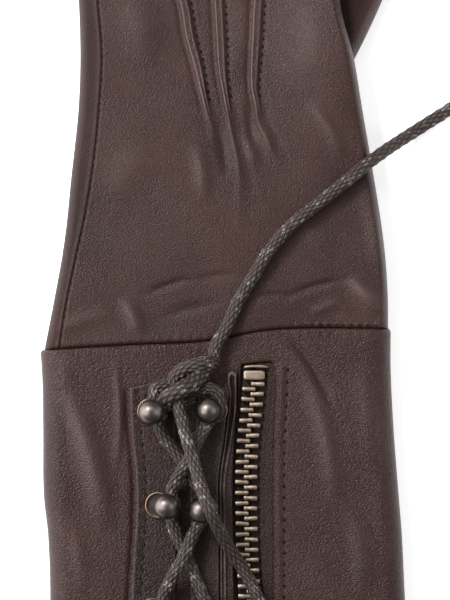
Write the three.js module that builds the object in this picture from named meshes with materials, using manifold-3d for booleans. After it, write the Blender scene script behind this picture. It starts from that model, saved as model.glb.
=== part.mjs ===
import * as THREE from 'three';
import { mergeVertices } from 'three/addons/utils/BufferGeometryUtils.js';
import Module from 'manifold-3d';

// A long left-hand leather glove lying flat, back up, in millimetres. X runs towards the thumb, Y
// towards the fingertips and Z up. Shapes are laid out from the middle of the wrist seam, and the
// whole glove is moved at the end so that its origin is below the middle of its box.

const WALL = 1.3;
const GAP = 0.3;
const CUFF_LENGTH = 197;
const CUFF_HEIGHT = 11;
const HAND_LENGTH = 121;
const SEAM_FADE = 25;

const FINGER_HEIGHT = 11;
const FOURCHETTE_LOW = 3;
const FOURCHETTE_HIGH = 8;
const THUMB_HEIGHT = 8.6;
const THUMB_LIFT = 4.6;

const PLACKET_THICK = 1;
const WELT_HEIGHT = 1.6;
const WASHER_RADIUS = 3.6;
const WASHER_THICK = 0.7;
const NECK_RADIUS = 0.7;
const BALL_RADIUS = 3.5;
const BALL_RISE = 7.9;
const ROUND_SIDES = 10;
const STUD_ROWS = 7;
const STUD_PITCH = 26.5;

const LACE_DIAMETER = 3.4;
const LACE_SIDES = 8;

const TOOTH_PITCH = 2.8;
const TOOTH_WIDTH = 1;
const TOOTH_HEIGHT = 2.2;
const CHAIN_HALF = 3;
const TOOTH_OVERLAP = 0.65;
const TAPE_THICK = 0.8;
const ZIP_TOP = -8;
const ZIP_END = -184;

const PLACKET_TOP = CUFF_HEIGHT + GAP + PLACKET_THICK;
const STUD_BASE = PLACKET_TOP + GAP;
const LACE_AT_STUD = STUD_BASE + WASHER_THICK + 0.25 + LACE_DIAMETER / 2;

// Outline of the hand: y above the wrist seam, its two edges and the height of its back.
const HAND = [
  { y: 0, left: -49.0, right: 44.3, height: 11.2 },
  { y: 10, left: -46.8, right: 44.2, height: 11.6 },
  { y: 25, left: -43.8, right: 43.2, height: 12 },
  { y: 45, left: -41.6, right: 40.2, height: 12.2 },
  { y: 62, left: -39.8, right: 37.2, height: 12.2 },
  { y: 76, left: -39.3, right: 34.8, height: 12.2 },
  { y: 91, left: -39.7, right: 31.2, height: 12 },
  { y: 105, left: -40.7, right: 31.9, height: 11.8 },
  { y: 121, left: -40.9, right: 32.5, height: 11.5 },
];

// Fingers: middle and half width at the root and near the tip.
const FINGERS = [
  { name: 'little', rootX: -31.6, tipX: -36.6, tipY: 166, rootHalf: 9.4, tipHalf: 8.4 },
  { name: 'ring', rootX: -12.9, tipX: -15.7, tipY: 191, rootHalf: 8.8, tipHalf: 8.5 },
  { name: 'middle', rootX: 4.9, tipX: 5.2, tipY: 200, rootHalf: 8.6, tipHalf: 8.5 },
  { name: 'index', rootX: 23.0, tipX: 26.2, tipY: 188, rootHalf: 9.5, tipHalf: 8.7 },
];
const FINGER_FROM = 100;
const FINGER_TUCKED_IN = 1;
const LITTLE_DROP = 9;

// The thumb's middle line, leaning away from the hand, and its half width.
const THUMB = [
  { along: 0, half: 11.5 },
  { along: 26, half: 12.2 },
  { along: 44, half: 11.4 },
  { along: 58, half: 10.2 },
  { along: 66, half: 8.4 },
  { along: 70, half: 5.4 },
];
const THUMB_BASE = { x: 14.6, y: 62.2 };
const THUMB_LEAN = 27;

// Outline of the cuff: y below the wrist seam and its two edges.
const CUFF = [
  { y: 0, left: -50.1, right: 45.0 },
  { y: -10, left: -49.6, right: 45.0 },
  { y: -25, left: -49.4, right: 45.8 },
  { y: -43, left: -49.2, right: 47.2 },
  { y: -53, left: -48.1, right: 48.0 },
  { y: -71, left: -47.5, right: 48.9 },
  { y: -110, left: -49.0, right: 51.6 },
  { y: -150, left: -52.0, right: 54.6 },
  { y: -CUFF_LENGTH, left: -56.0, right: 58.0 },
];

// Sweep of the wrist seam across the glove.
const WRIST_SEAM = [
  { x: -50, y: -3.3 },
  { x: -25, y: -1.8 },
  { x: -5, y: -0.8 },
  { x: 12, y: 2.2 },
  { x: 45, y: 2.6 },
];

// Side seam, where the palm's leather turns up onto the back.
const SIDE_SEAM = [
  { y: -10, x: -45.6 },
  { y: 10, x: -43.0 },
  { y: 32, x: -38.0 },
  { y: 62, x: -34.6 },
  { y: 91, x: -34.3 },
  { y: 121, x: -37.0 },
  { y: 180, x: -44.5 },
];

// The three raised points on the back, from the wrist end up towards the fingers.
const POINTS = [
  { name: 'left', low: [-3.5, 56], middle: [-8.0, 76], high: [-17.5, 116] },
  { name: 'middle', low: [1.0, 57], middle: [-1.4, 76], high: [-3.9, 116] },
  { name: 'right', low: [9.0, 57], middle: [7.7, 76], high: [12.6, 116] },
];
const POINT_RADIUS = 0.95;

// Edges of the zip's window, of the two plackets and the middle of the zip, down the cuff.
const ZIP_WINDOW = [
  { y: -7.0, left: 3.4, right: 14.0, middle: 8.1 },
  { y: -19.2, left: 3.2, right: 13.5, middle: 7.1 },
  { y: -27, left: 2.2, right: 13.1, middle: 6.2 },
  { y: -38, left: 0.6, right: 13.0, middle: 5.7 },
  { y: -54.5, left: 0.6, right: 13.0, middle: 5.9 },
  { y: -70, left: 0.8, right: 13.0, middle: 6.5 },
  { y: -CUFF_LENGTH, left: 0.8, right: 13.0, middle: 6.5 },
];
const PLACKET_LEFT = [
  { y: -11.6, left: -25.9, right: -13.6 },
  { y: -24.6, left: -25.4, right: -13.4 },
  { y: -38, left: -24.1, right: -13.0 },
  { y: -48, left: -24.1, right: -13.0 },
  { y: -70, left: -25.4, right: -13.4 },
  { y: -CUFF_LENGTH, left: -25.4, right: -13.4 },
];
const PLACKET_RIGHT = [
  { y: -15.4, left: -7.2, right: 1.1 },
  { y: -27, left: -8.2, right: -0.2 },
  { y: -38, left: -9.3, right: -1.7 },
  { y: -54.5, left: -9.3, right: -1.6 },
  { y: -CUFF_LENGTH, left: -9.3, right: -1.6 },
];

// Studs seen in the photograph; the rows below them follow the pitch. Lean is towards the gap.
const STUD_PLACES = {
  left: [
    { x: -20.6, y: -19.8, lean: 0.7 },
    { x: -18.0, y: -45.1, lean: 2.3 },
    { x: -19.5, y: -73.7, lean: 1.2 },
  ],
  right: [
    { x: -2.7, y: -19.4, lean: -1.1 },
    { x: -5.4, y: -46.2, lean: -1.1 },
    { x: -5.4, y: -73.7, lean: -1.1 },
  ],
};

// The knot and the routes of the two free ends, as x, y and the height of the cord's middle.
const KNOT = { x: -9.6, y: -9.4, z: 16.1, halfX: 6.2, halfY: 3.9, halfZ: 3.3 };
const TAIL_UP = [
  [-3.1, -6.6, 15.2], [-2.6, -2.2, 14.2], [0.2, 2.4, 13.8], [3.1, 9.0, 13.8], [7.8, 17.0, 14.2],
  [12.7, 24.6, 14.5], [19.0, 31.5, 14.7], [26.5, 37.3, 14.7], [33.0, 42.6, 15.0],
  [37.6, 46.4, 14.2], [42.4, 50.0, 11.0], [46.8, 53.0, 6.9], [51.4, 56.0, 3.4],
  [56.4, 59.2, 1.9], [61.8, 62.6, 1.8], [64.6, 64.4, 1.8],
];
const TAIL_DOWN = [
  [-12.9, -14.4, 17.6], [-12.4, -18.6, 18.8], [-11.2, -23.4, 20.4], [-10.1, -27.5, 21.4],
  [-8.4, -33.2, 22.0], [-6.9, -38.0, 23.6], [-5.2, -42.8, 25.4], [-3.7, -46.6, 25.4],
  [-1.9, -50.8, 22.4], [0.6, -55.4, 18.4], [3.8, -60.6, 14.8], [6.8, -65.8, 14.0],
  [9.2, -70.7, 14.0], [10.8, -74.4, 14.0],
];
const TIP_LENGTH = 5;

const LEATHER = { color: 0x4e403c, roughness: 0.55, metalness: 0 };
const CORD_FINISH = { color: 0x3e3c39, roughness: 0.7, metalness: 0 };
const TAPE_FINISH = { color: 0x2e2823, roughness: 0.9, metalness: 0 };
const BRASS = { color: 0x9a8462, roughness: 0.4, metalness: 0.9 };
const GUNMETAL = { color: 0x5c5954, roughness: 0.3, metalness: 0.9 };

const wasm = await Module();
wasm.setup();

const group = new THREE.Group();

// Value of one column of a table at a place along its first column, in straight steps.
function valueAt(table, place, column, key = 'y') {
  const rising = table[0][key] < table[table.length - 1][key];
  const rows = rising ? table : [...table].reverse();
  const next = rows.findIndex((row) => row[key] >= place);
  if (next === 0) return rows[0][column];
  if (next < 0) return rows[rows.length - 1][column];
  const [a, b] = [rows[next - 1], rows[next]];
  return THREE.MathUtils.mapLinear(place, a[key], b[key], a[column], b[column]);
}

// Triangles of a closed surface through equal rings of points, with a flat fan over each end.
function loft(rings) {
  const count = rings[0].length;
  const points = rings.flat();
  const faces = [];
  for (let ring = 0; ring < rings.length - 1; ring++) {
    for (let k = 0; k < count; k++) {
      const a = ring * count + k;
      const b = ring * count + ((k + 1) % count);
      faces.push(a, b + count, b, a, a + count, b + count);
    }
  }
  for (const [ring, turn] of [[rings[0], 1], [rings[rings.length - 1], -1]]) {
    const middle = ring.reduce((sum, p) => sum.add(p), new THREE.Vector3()).divideScalar(count);
    const first = turn > 0 ? 0 : (rings.length - 1) * count;
    points.push(middle);
    for (let k = 0; k < count; k++) {
      const pair = [first + k, first + ((k + 1) % count)];
      if (turn < 0) pair.reverse();
      faces.push(points.length - 1, ...pair);
    }
  }
  const geometry = new THREE.BufferGeometry().setFromPoints(points);
  geometry.setIndex(faces);
  return geometry;
}

// One section of a flattened leather tube: rounded at both edges and nearly flat between them.
// The middle is at (x, y), across is square to the tube's own direction in degrees from +Y.
function section({ x, y, half, low, high, round, turn = 0, crown = 0, spans = 2, arcs = 2 }) {
  const across = THREE.MathUtils.degToRad(turn);
  const centre = (low + high) / 2;
  const rise = (high - low) / 2;
  const corner = Math.min(round, half * 0.95);
  const flat = half - corner;
  const profile = [];
  for (const side of [1, -1]) {
    for (let k = 0; k <= arcs; k++) {
      const angle = (Math.PI / 2) * (k / arcs);
      profile.push([side * (flat + corner * Math.cos(angle)), side * rise * Math.sin(angle)]);
    }
    for (let k = 1; k < spans; k++) {
      profile.push([side * flat * (1 - (2 * k) / spans), side * rise]);
    }
    for (let k = arcs; k > 0; k--) {
      const angle = (Math.PI / 2) * (k / arcs);
      profile.push([-side * (flat + corner * Math.cos(angle)), side * rise * Math.sin(angle)]);
    }
  }
  return profile.map(([u, v]) => {
    const swell = v > 0 ? crown * (v / rise) * (1 - (u / half) ** 2) : 0;
    const height = centre + v + swell;
    return new THREE.Vector3(x + u * Math.cos(across), y - u * Math.sin(across), height);
  });
}

// A closed geometry as a solid that can be joined and cut, and back again.
function solidOf(geometry) {
  const bare = geometry.clone();
  bare.deleteAttribute('normal');
  bare.deleteAttribute('uv');
  const merged = mergeVertices(bare, 1e-4);
  const solid = new wasm.Manifold(new wasm.Mesh({
    numProp: 3,
    vertProperties: new Float32Array(merged.attributes.position.array),
    triVerts: new Uint32Array(merged.index.array),
  }));
  return solid;
}

function geometryOf(solid) {
  const mesh = solid.getMesh();
  const geometry = new THREE.BufferGeometry();
  geometry.setAttribute('position', new THREE.BufferAttribute(mesh.vertProperties, 3));
  geometry.setIndex(new THREE.BufferAttribute(mesh.triVerts, 1));
  return geometry;
}

function addPiece(name, geometry, finish) {
  const mesh = new THREE.Mesh(geometry, new THREE.MeshStandardMaterial(finish));
  mesh.name = name;
  group.add(mesh);
  return mesh;
}

// An outline in plan, extruded between two heights.
function prism(outline, low, high) {
  const shape = new THREE.Shape(outline.map(([x, y]) => new THREE.Vector2(x, y)));
  const geometry = new THREE.ExtrudeGeometry(shape, { depth: high - low, bevelEnabled: false });
  return geometry.translate(0, 0, low);
}

// The strip between two columns of a table, as an outline in plan.
function stripOutline(table, left = 'left', right = 'right', inset = 0) {
  const up = [...table].reverse();
  return [
    ...table.map((row) => [row[left] + inset, row.y]),
    ...up.map((row) => [row[right] - inset, row.y]),
  ];
}

// Moves every corner of a geometry by a rule.
function bend(geometry, rule) {
  const position = geometry.attributes.position;
  const corner = new THREE.Vector3();
  for (let k = 0; k < position.count; k++) {
    corner.fromBufferAttribute(position, k);
    rule(corner);
    position.setXYZ(k, corner.x, corner.y, corner.z);
  }
  return geometry;
}

// Near the wrist the sections follow the sweep of the seam.
function followSeam(corner) {
  const fade = Math.max(0, 1 - Math.abs(corner.y) / SEAM_FADE);
  corner.y += fade * valueAt(WRIST_SEAM, corner.x, 'y', 'x');
}

// The crotch of the little finger is lower than the others.
function dropLittle(corner) {
  const near = THREE.MathUtils.smoothstep(corner.y, 90, HAND_LENGTH);
  corner.y -= LITTLE_DROP * near * THREE.MathUtils.smoothstep(-corner.x, 17, 30);
}

// The hand is raised where it lies on the thumb.
function liftOverThumb(corner) {
  const across = THREE.MathUtils.smoothstep(corner.x, 8, 33);
  const up = THREE.MathUtils.smoothstep(corner.y, 42, 78);
  const down = 1 - THREE.MathUtils.smoothstep(corner.y, 112, 165);
  corner.z += THUMB_LIFT * across * up * down;
}

// The palm and back as one closed form, drawn in by an inset.
function handForm(inset) {
  const rings = HAND.map((row, k) => {
    const last = k === HAND.length - 1;
    const start = k === 0 && inset > 0 ? -8 : 0;
    return section({
      x: (row.left + row.right) / 2,
      y: row.y + start - (last ? inset : 0),
      half: (row.right - row.left) / 2 - inset,
      low: inset,
      high: row.height - inset,
      round: 7 - inset,
      crown: 0.6,
      spans: 6,
      arcs: 2,
    });
  });
  return bend(bend(bend(loft(rings), dropLittle), followSeam), liftOverThumb);
}

// One finger as a closed form with a rounded tip.
function fingerForm(finger, inset) {
  const turn = THREE.MathUtils.radToDeg(
    Math.atan2(finger.tipX - finger.rootX, finger.tipY - HAND_LENGTH));
  const tipRound = 8.5;
  const body = finger.tipY - tipRound;
  const stations = [FINGER_FROM, HAND_LENGTH, (HAND_LENGTH + body) / 2, body];
  for (const angle of [42, 76]) {
    stations.push(body + (tipRound - inset) * Math.sin(THREE.MathUtils.degToRad(angle)));
  }
  const rings = stations.map((y) => {
    const tucked = y === FINGER_FROM ? FINGER_TUCKED_IN : 0;
    const along = (y - HAND_LENGTH) / (finger.tipY - HAND_LENGTH);
    const taper = THREE.MathUtils.lerp(finger.rootHalf, finger.tipHalf, Math.max(0, along));
    const past = Math.min(1, Math.max(0, (y - body) / (tipRound - inset)));
    const close = Math.sqrt(1 - past * past);
    const rise = (FINGER_HEIGHT - 2 * inset) * (0.45 + 0.55 * close);
    return section({
      x: THREE.MathUtils.lerp(finger.rootX, finger.tipX, Math.max(0, along)),
      y,
      half: (taper - tucked - inset) * Math.max(0.25, close),
      low: inset,
      high: inset + rise,
      round: 4 - inset / 2,
      turn: y > HAND_LENGTH ? turn : 0,
      crown: 0.5,
      spans: 2,
      arcs: inset > 0 ? 1 : 2,
    });
  });
  return bend(loft(rings), liftOverThumb);
}

// The thumb's form, leaning away from the hand.
function thumbForm(inset) {
  const lean = THREE.MathUtils.degToRad(THUMB_LEAN);
  const rings = THUMB.map((row, k) => {
    const last = k === THUMB.length - 1;
    const along = row.along - (last ? inset : 0);
    return section({
      x: THUMB_BASE.x + along * Math.sin(lean),
      y: THUMB_BASE.y + along * Math.cos(lean),
      half: row.half - inset,
      low: inset,
      high: THUMB_HEIGHT * (last ? 0.75 : 1) - inset,
      round: 4.2 - inset / 2,
      turn: THUMB_LEAN,
      spans: 3,
      arcs: inset > 0 ? 1 : 2,
    });
  });
  return loft(rings);
}

// The hand's outer form, with the raised points on its back.
let outer = solidOf(handForm(0));
let inner = solidOf(handForm(WALL));
for (const finger of FINGERS) {
  outer = outer.add(solidOf(fingerForm(finger, 0)));
  inner = inner.add(solidOf(fingerForm(finger, WALL)));
}
const ridgeShape = new THREE.Shape();
for (let k = 0; k < 6; k++) {
  const angle = (k / 6) * 2 * Math.PI;
  const corner = [POINT_RADIUS * Math.cos(angle), POINT_RADIUS * Math.sin(angle)];
  if (k === 0) ridgeShape.moveTo(...corner);
  else ridgeShape.lineTo(...corner);
}
for (const point of POINTS) {
  const path = new THREE.CatmullRomCurve3([
    new THREE.Vector3(...point.low, 11.6),
    new THREE.Vector3(...point.middle, 12.5),
    new THREE.Vector3(...point.high, 11.5),
  ]);
  const ridge = new THREE.ExtrudeGeometry(ridgeShape, { steps: 6, extrudePath: path });
  outer = outer.add(solidOf(ridge));
}
const shell = outer.subtract(inner);

// The shell is cut into the back, the palm and the strips between the fingers.
const seamUp = SIDE_SEAM.map((row) => [row.x, row.y]);
const backOutline = (side) => [
  ...seamUp.map(([x, y]) => [x + side, y]),
  [-44.5 + side, 220], [80, 220], [80, -20], [-45.6 + side, -20],
];
const half = GAP / 2;
function layer(outline, low, high) {
  const slab = new THREE.BoxGeometry(200, 260, high - low, 6, 8, 1);
  slab.translate(10, 90, (low + high) / 2);
  return solidOf(bend(slab, liftOverThumb)).intersect(solidOf(prism(outline, -5, 80)));
}
const backCut = layer(backOutline(half), FOURCHETTE_HIGH + half, 40);
const backRoom = layer(backOutline(-half), FOURCHETTE_HIGH - half, 40);
const back = shell.intersect(backCut);
let palm = shell.subtract(backRoom);
const lineOf = (finger, y) => THREE.MathUtils.mapLinear(
  y, HAND_LENGTH, finger.tipY, finger.rootX, finger.tipX);
for (let k = 0; k < FINGERS.length - 1; k++) {
  const [a, b] = [FINGERS[k], FINGERS[k + 1]];
  const low = 102;
  const high = 210;
  const outline = (grow) => [
    [lineOf(a, low) - grow, low - grow], [lineOf(b, low) + grow, low - grow],
    [lineOf(b, high) + grow, high], [lineOf(a, high) - grow, high],
  ];
  const strip = shell.intersect(layer(outline(-half), FOURCHETTE_LOW + half, FOURCHETTE_HIGH - half));
  palm = palm.subtract(layer(outline(half), FOURCHETTE_LOW - half, FOURCHETTE_HIGH + 1));
  addPiece(`fourchette_${k + 1}`, geometryOf(strip), LEATHER);
}
addPiece('back_panel', geometryOf(back), LEATHER);

// The thumb opens into the palm, and its edge meets the palm's underside all round.
const thumbHollow = solidOf(thumbForm(WALL));
addPiece('palm_panel', geometryOf(palm.subtract(thumbHollow)), LEATHER);
const handRoom = solidOf(handForm(-GAP)).add(solidOf(fingerForm(FINGERS[3], -GAP)));
const thumbShell = solidOf(thumbForm(0)).subtract(thumbHollow).subtract(handRoom);
addPiece('thumb', geometryOf(thumbShell), LEATHER);

// The cuff bends round the arm in one wall and is open along the zip.
function cuffForm(inset) {
  const rings = CUFF.map((row, k) => {
    const first = k === 0;
    const last = k === CUFF.length - 1;
    const beyond = inset > 0 ? (first ? 8 : 0) - (last ? 8 : 0) : 0;
    return section({
      x: (row.left + row.right) / 2,
      y: row.y + beyond - (first && inset === 0 ? 2 * GAP : 0),
      half: (row.right - row.left) / 2 - inset,
      low: inset,
      high: CUFF_HEIGHT - inset,
      round: 5.5 - inset / 2,
      spans: 6,
      arcs: 2,
    });
  });
  return bend(loft(rings.reverse()), followSeam);
}
const windowRows = [...ZIP_WINDOW.slice(0, -1), { ...ZIP_WINDOW[6], y: -CUFF_LENGTH - 5 }];
const zipWindow = solidOf(prism(stripOutline(windowRows), 6, 40));
const cuffWall = solidOf(cuffForm(0)).subtract(solidOf(cuffForm(WALL))).subtract(zipWindow);
addPiece('cuff', geometryOf(cuffWall), LEATHER);

// The plackets are strips sewn on the cuff, and the welt is the folded edge beside the zip.
const onCuff = CUFF_HEIGHT + GAP;
const leftOutline = stripOutline(PLACKET_LEFT);
leftOutline[leftOutline.length - 1] = [-13.6, -15.4];
addPiece('placket_left', prism(leftOutline, onCuff, PLACKET_TOP), LEATHER);
addPiece('placket_right', prism(stripOutline(PLACKET_RIGHT), onCuff, PLACKET_TOP), LEATHER);
const weltRows = ZIP_WINDOW.slice(1).map((row, k) => ({
  y: row.y,
  left: valueAt(PLACKET_RIGHT, row.y, 'right') + GAP,
  right: row.left - (k < 1 ? 0.2 : 0.1),
}));
weltRows.unshift({ y: -9.4, left: 1.8, right: 3.0 });
addPiece('zip_welt', prism(stripOutline(weltRows), onCuff, onCuff + WELT_HEIGHT), LEATHER);

// Zip: the tapes lie under the leather's edges and the teeth stand in the window.
const tapeHigh = CUFF_HEIGHT - WALL - GAP;
const tapeLow = tapeHigh - TAPE_THICK;
const zipRows = [];
for (const row of [...ZIP_WINDOW].reverse()) {
  if (row.y < ZIP_TOP - 4) zipRows.push({ ...row });
}
zipRows.reverse();
zipRows.unshift({ ...ZIP_WINDOW[0], y: ZIP_TOP - 4 });
zipRows[0].middle = valueAt(ZIP_WINDOW, ZIP_TOP - 4, 'middle');
const tapeRows = zipRows.map((row) => ({
  y: row.y,
  leftEdge: row.left - 4,
  leftInner: row.middle - 0.25,
  rightInner: row.middle + 0.25,
  rightEdge: row.right + 4,
}));
const tapeLeft = prism(stripOutline(tapeRows, 'leftEdge', 'leftInner'), tapeLow, tapeHigh);
const tapeRight = prism(stripOutline(tapeRows, 'rightInner', 'rightEdge'), tapeLow, tapeHigh);
addPiece('zip_tape_left', tapeLeft, TAPE_FINISH);
addPiece('zip_tape_right', tapeRight, TAPE_FINISH);

// One side's teeth as a comb: a spine along its outer edge with a tooth at every pitch.
function comb(side) {
  const from = ZIP_TOP - 5.4 - (side > 0 ? TOOTH_PITCH / 2 : 0);
  const spine = [];
  const teeth = [];
  const place = (u, y) => [valueAt(ZIP_WINDOW, y, 'middle') + side * u, y];
  for (let y = from; y > ZIP_END; y -= TOOTH_PITCH) {
    teeth.push(place(CHAIN_HALF - 1.4, y), place(-TOOTH_OVERLAP, y));
    teeth.push(place(-TOOTH_OVERLAP, y - TOOTH_WIDTH), place(CHAIN_HALF - 1.4, y - TOOTH_WIDTH));
  }
  const lowest = teeth[teeth.length - 1][1];
  spine.push(place(CHAIN_HALF, from));
  for (const row of ZIP_WINDOW) {
    if (row.y < from && row.y > lowest) spine.push(place(CHAIN_HALF, row.y));
  }
  spine.push(place(CHAIN_HALF, lowest));
  const outline = [...spine.reverse(), ...teeth];
  return prism(outline, tapeHigh + GAP, tapeHigh + GAP + TOOTH_HEIGHT);
}
addPiece('zip_teeth_left', comb(-1), BRASS);
addPiece('zip_teeth_right', comb(1), BRASS);
const toothLow = tapeHigh + GAP;
const stopX = valueAt(ZIP_WINDOW, ZIP_TOP - 2, 'middle');
const stop = new THREE.BoxGeometry(5.9, 2.6, TOOTH_HEIGHT);
addPiece('zip_stop', stop, BRASS).position.set(stopX, -10.8, toothLow + TOOTH_HEIGHT / 2);
const staple = new THREE.BoxGeometry(6.8, 0.8, TOOTH_HEIGHT);
addPiece('zip_staple', staple, BRASS).position.set(stopX + 0.5, -8.2, toothLow + TOOTH_HEIGHT / 2);
const slider = new THREE.BoxGeometry(8.6, 9, 3.6);
const sliderPlace = [6.5, ZIP_END - 5.6, toothLow + 1.8];
addPiece('zip_slider', slider, BRASS).position.set(...sliderPlace);

// A ball-headed stud on a washer. The ball stands nearer the laced gap than the washer's middle:
// on the left its neck leans all the way up, on the right it steps aside at its foot.
const NECK_FOOT = 0.25;
function stud(side, lean) {
  const profile = [
    [0, 0], [WASHER_RADIUS, 0], [WASHER_RADIUS, WASHER_THICK], [NECK_RADIUS, WASHER_THICK],
  ];
  const under = BALL_RISE - Math.sqrt(BALL_RADIUS ** 2 - NECK_RADIUS ** 2);
  const leanTo = side === 'left' ? under : WASHER_THICK + NECK_FOOT;
  if (side === 'right') profile.push([NECK_RADIUS, leanTo]);
  profile.push([NECK_RADIUS, under]);
  for (const angle of [-35, 0, 35, 65]) {
    const turn = THREE.MathUtils.degToRad(angle);
    profile.push([BALL_RADIUS * Math.cos(turn), BALL_RISE + BALL_RADIUS * Math.sin(turn)]);
  }
  profile.push([0, BALL_RISE + BALL_RADIUS]);
  const points = profile.map(([r, z]) => new THREE.Vector2(r, z));
  const geometry = new THREE.LatheGeometry(points, ROUND_SIDES).rotateX(Math.PI / 2);
  return bend(geometry, (corner) => {
    const share = (corner.z - WASHER_THICK) / (leanTo - WASHER_THICK);
    corner.x += lean * THREE.MathUtils.clamp(share, 0, 1);
  });
}
const studs = { left: [], right: [] };
for (const side of ['left', 'right']) {
  for (let row = 0; row < STUD_ROWS; row++) {
    const seen = STUD_PLACES[side];
    const last = seen[seen.length - 1];
    const below = row - seen.length + 1;
    const place = seen[row] ?? { ...last, y: last.y - below * STUD_PITCH };
    studs[side].push(place);
    const piece = addPiece(`stud_${side}_${row + 1}`, stud(side, place.lean), GUNMETAL);
    piece.position.set(place.x, place.y, STUD_BASE);
  }
}

// A round cord along a smooth path.
const laceShape = new THREE.Shape();
for (let k = 0; k < LACE_SIDES; k++) {
  const angle = ((k + 0.5) / LACE_SIDES) * 2 * Math.PI;
  const corner = [Math.cos(angle) * LACE_DIAMETER / 2, Math.sin(angle) * LACE_DIAMETER / 2];
  if (k === 0) laceShape.moveTo(...corner);
  else laceShape.lineTo(...corner);
}
function cord(places, step) {
  const path = new THREE.CatmullRomCurve3(places.map((p) => new THREE.Vector3(...p)));
  const steps = Math.max(2, Math.round(path.getLength() / step));
  return new THREE.ExtrudeGeometry(laceShape, { steps, extrudePath: path });
}

// The criss-cross: each run passes every stud of the other side in turn, under the ball and on the
// thumb side of its neck, and the two runs take turns to lie on top where they cross.
const LOW_STRAND = 14.4;
const HIGH_STRAND = LOW_STRAND + LACE_DIAMETER + 0.8;
const PAST_NECK = NECK_RADIUS + LACE_DIAMETER / 2 + 0.55;
const LEAN_AT_LACE = { left: 0.65, right: 1 };
const NEAR_STUD = 3.8;
const PULL = { left: { above: 0.8, below: 0.8 }, right: { above: 2.2, below: 3.4 } };
function pastStud(side, row) {
  const here = studs[side][row];
  return here.x + here.lean * LEAN_AT_LACE[side] + PAST_NECK;
}
function laceRun(firstSide, start) {
  const places = [...start];
  for (let row = 0; row < STUD_ROWS; row++) {
    const side = (firstSide === 'left') === (row % 2 === 0) ? 'left' : 'right';
    const { y } = studs[side][row];
    const x = pastStud(side, row);
    if (row > 0) places.push([x - PULL[side].above, y + NEAR_STUD, LACE_AT_STUD]);
    places.push([x, y, LACE_AT_STUD]);
    places.push([x - PULL[side].below, y - NEAR_STUD, LACE_AT_STUD]);
    if (row === STUD_ROWS - 1) break;
    const other = side === 'left' ? 'right' : 'left';
    const over = (firstSide === 'left') === (row % 2 === 1);
    const from = x - PULL[side].below;
    const to = pastStud(other, row + 1) - PULL[other].above;
    const middleY = (y + studs[other][row + 1].y) / 2;
    places.push([(from + to) / 2, middleY, over ? HIGH_STRAND : LOW_STRAND]);
  }
  return cord(places, 4);
}
const startA = [[-17.0, -12.4, 15.1], [-18.4, -15.2, 15.2]];
const startB = [[-4.6, -13.6, 15.4], [-2.6, -15.3, 15.3]];
addPiece('lace_run_a', laceRun('left', startA), CORD_FINISH);
addPiece('lace_run_b', laceRun('right', startB), CORD_FINISH);

const knot = new THREE.SphereGeometry(1, 10, 6);
knot.scale(KNOT.halfX, KNOT.halfY, KNOT.halfZ);
addPiece('lace_knot', knot, CORD_FINISH).position.set(KNOT.x, KNOT.y, KNOT.z);
addPiece('lace_tail_up', cord(TAIL_UP, 7), CORD_FINISH);
addPiece('lace_tail_down', cord(TAIL_DOWN, 6), CORD_FINISH);

// Each free end has a short plain tip, in line with the cord's last stretch.
function tip(name, places) {
  const last = new THREE.Vector3(...places[places.length - 1]);
  const before = new THREE.Vector3(...places[places.length - 2]);
  const along = last.clone().sub(before).normalize();
  const from = last.clone().addScaledVector(along, GAP);
  const to = from.clone().addScaledVector(along, TIP_LENGTH);
  addPiece(name, cord([from.toArray(), to.toArray()], TIP_LENGTH / 2), CORD_FINISH);
}
tip('lace_tip_up', TAIL_UP);
tip('lace_tip_down', TAIL_DOWN);

// The origin is moved to the middle of the glove's own box; the free ends don't count in it.
const box = new THREE.Box3();
for (const mesh of group.children) {
  if (!mesh.name.startsWith('lace_t')) box.expandByObject(mesh);
}
const centre = box.getCenter(new THREE.Vector3());
group.position.set(-centre.x, -centre.y, 0);

export default group;
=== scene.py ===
import math

import bmesh
import bpy
import numpy as np
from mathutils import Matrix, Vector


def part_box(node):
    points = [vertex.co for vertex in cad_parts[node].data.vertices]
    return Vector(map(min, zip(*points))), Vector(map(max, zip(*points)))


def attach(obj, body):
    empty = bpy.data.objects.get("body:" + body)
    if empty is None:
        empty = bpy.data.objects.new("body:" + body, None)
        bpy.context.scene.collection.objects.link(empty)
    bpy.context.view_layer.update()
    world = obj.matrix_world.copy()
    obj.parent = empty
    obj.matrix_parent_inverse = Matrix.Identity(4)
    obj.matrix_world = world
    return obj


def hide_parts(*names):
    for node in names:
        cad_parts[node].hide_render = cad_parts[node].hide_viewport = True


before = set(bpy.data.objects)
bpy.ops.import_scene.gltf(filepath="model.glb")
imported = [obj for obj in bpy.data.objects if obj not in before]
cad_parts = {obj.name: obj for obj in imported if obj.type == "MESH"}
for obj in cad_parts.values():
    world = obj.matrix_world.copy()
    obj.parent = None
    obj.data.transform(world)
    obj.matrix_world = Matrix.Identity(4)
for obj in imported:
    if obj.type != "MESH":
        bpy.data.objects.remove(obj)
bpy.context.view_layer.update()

# Camera: straight above the laid glove, with a long lens that fills the picture with the wrist.
# Heights and places below are in millimetres from the middle of the wrist seam, on the floor. The
# cuff's left edge and end tell where that is in the frame.
CUFF_LEFT, CUFF_END = -56.0, -197.0
ORIGIN = np.array([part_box("cuff")[0][0] * 1000 - CUFF_LEFT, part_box("cuff")[0][1] * 1000 - CUFF_END, 0.0])
PICTURE_HEIGHT, PICTURE_MIDDLE, PICTURE_LEVEL = 162.0, 10.26, 12.0
CAMERA_DISTANCE, SENSOR_HEIGHT, NEAREST = 1200.0, 36.0, 0.01

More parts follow.
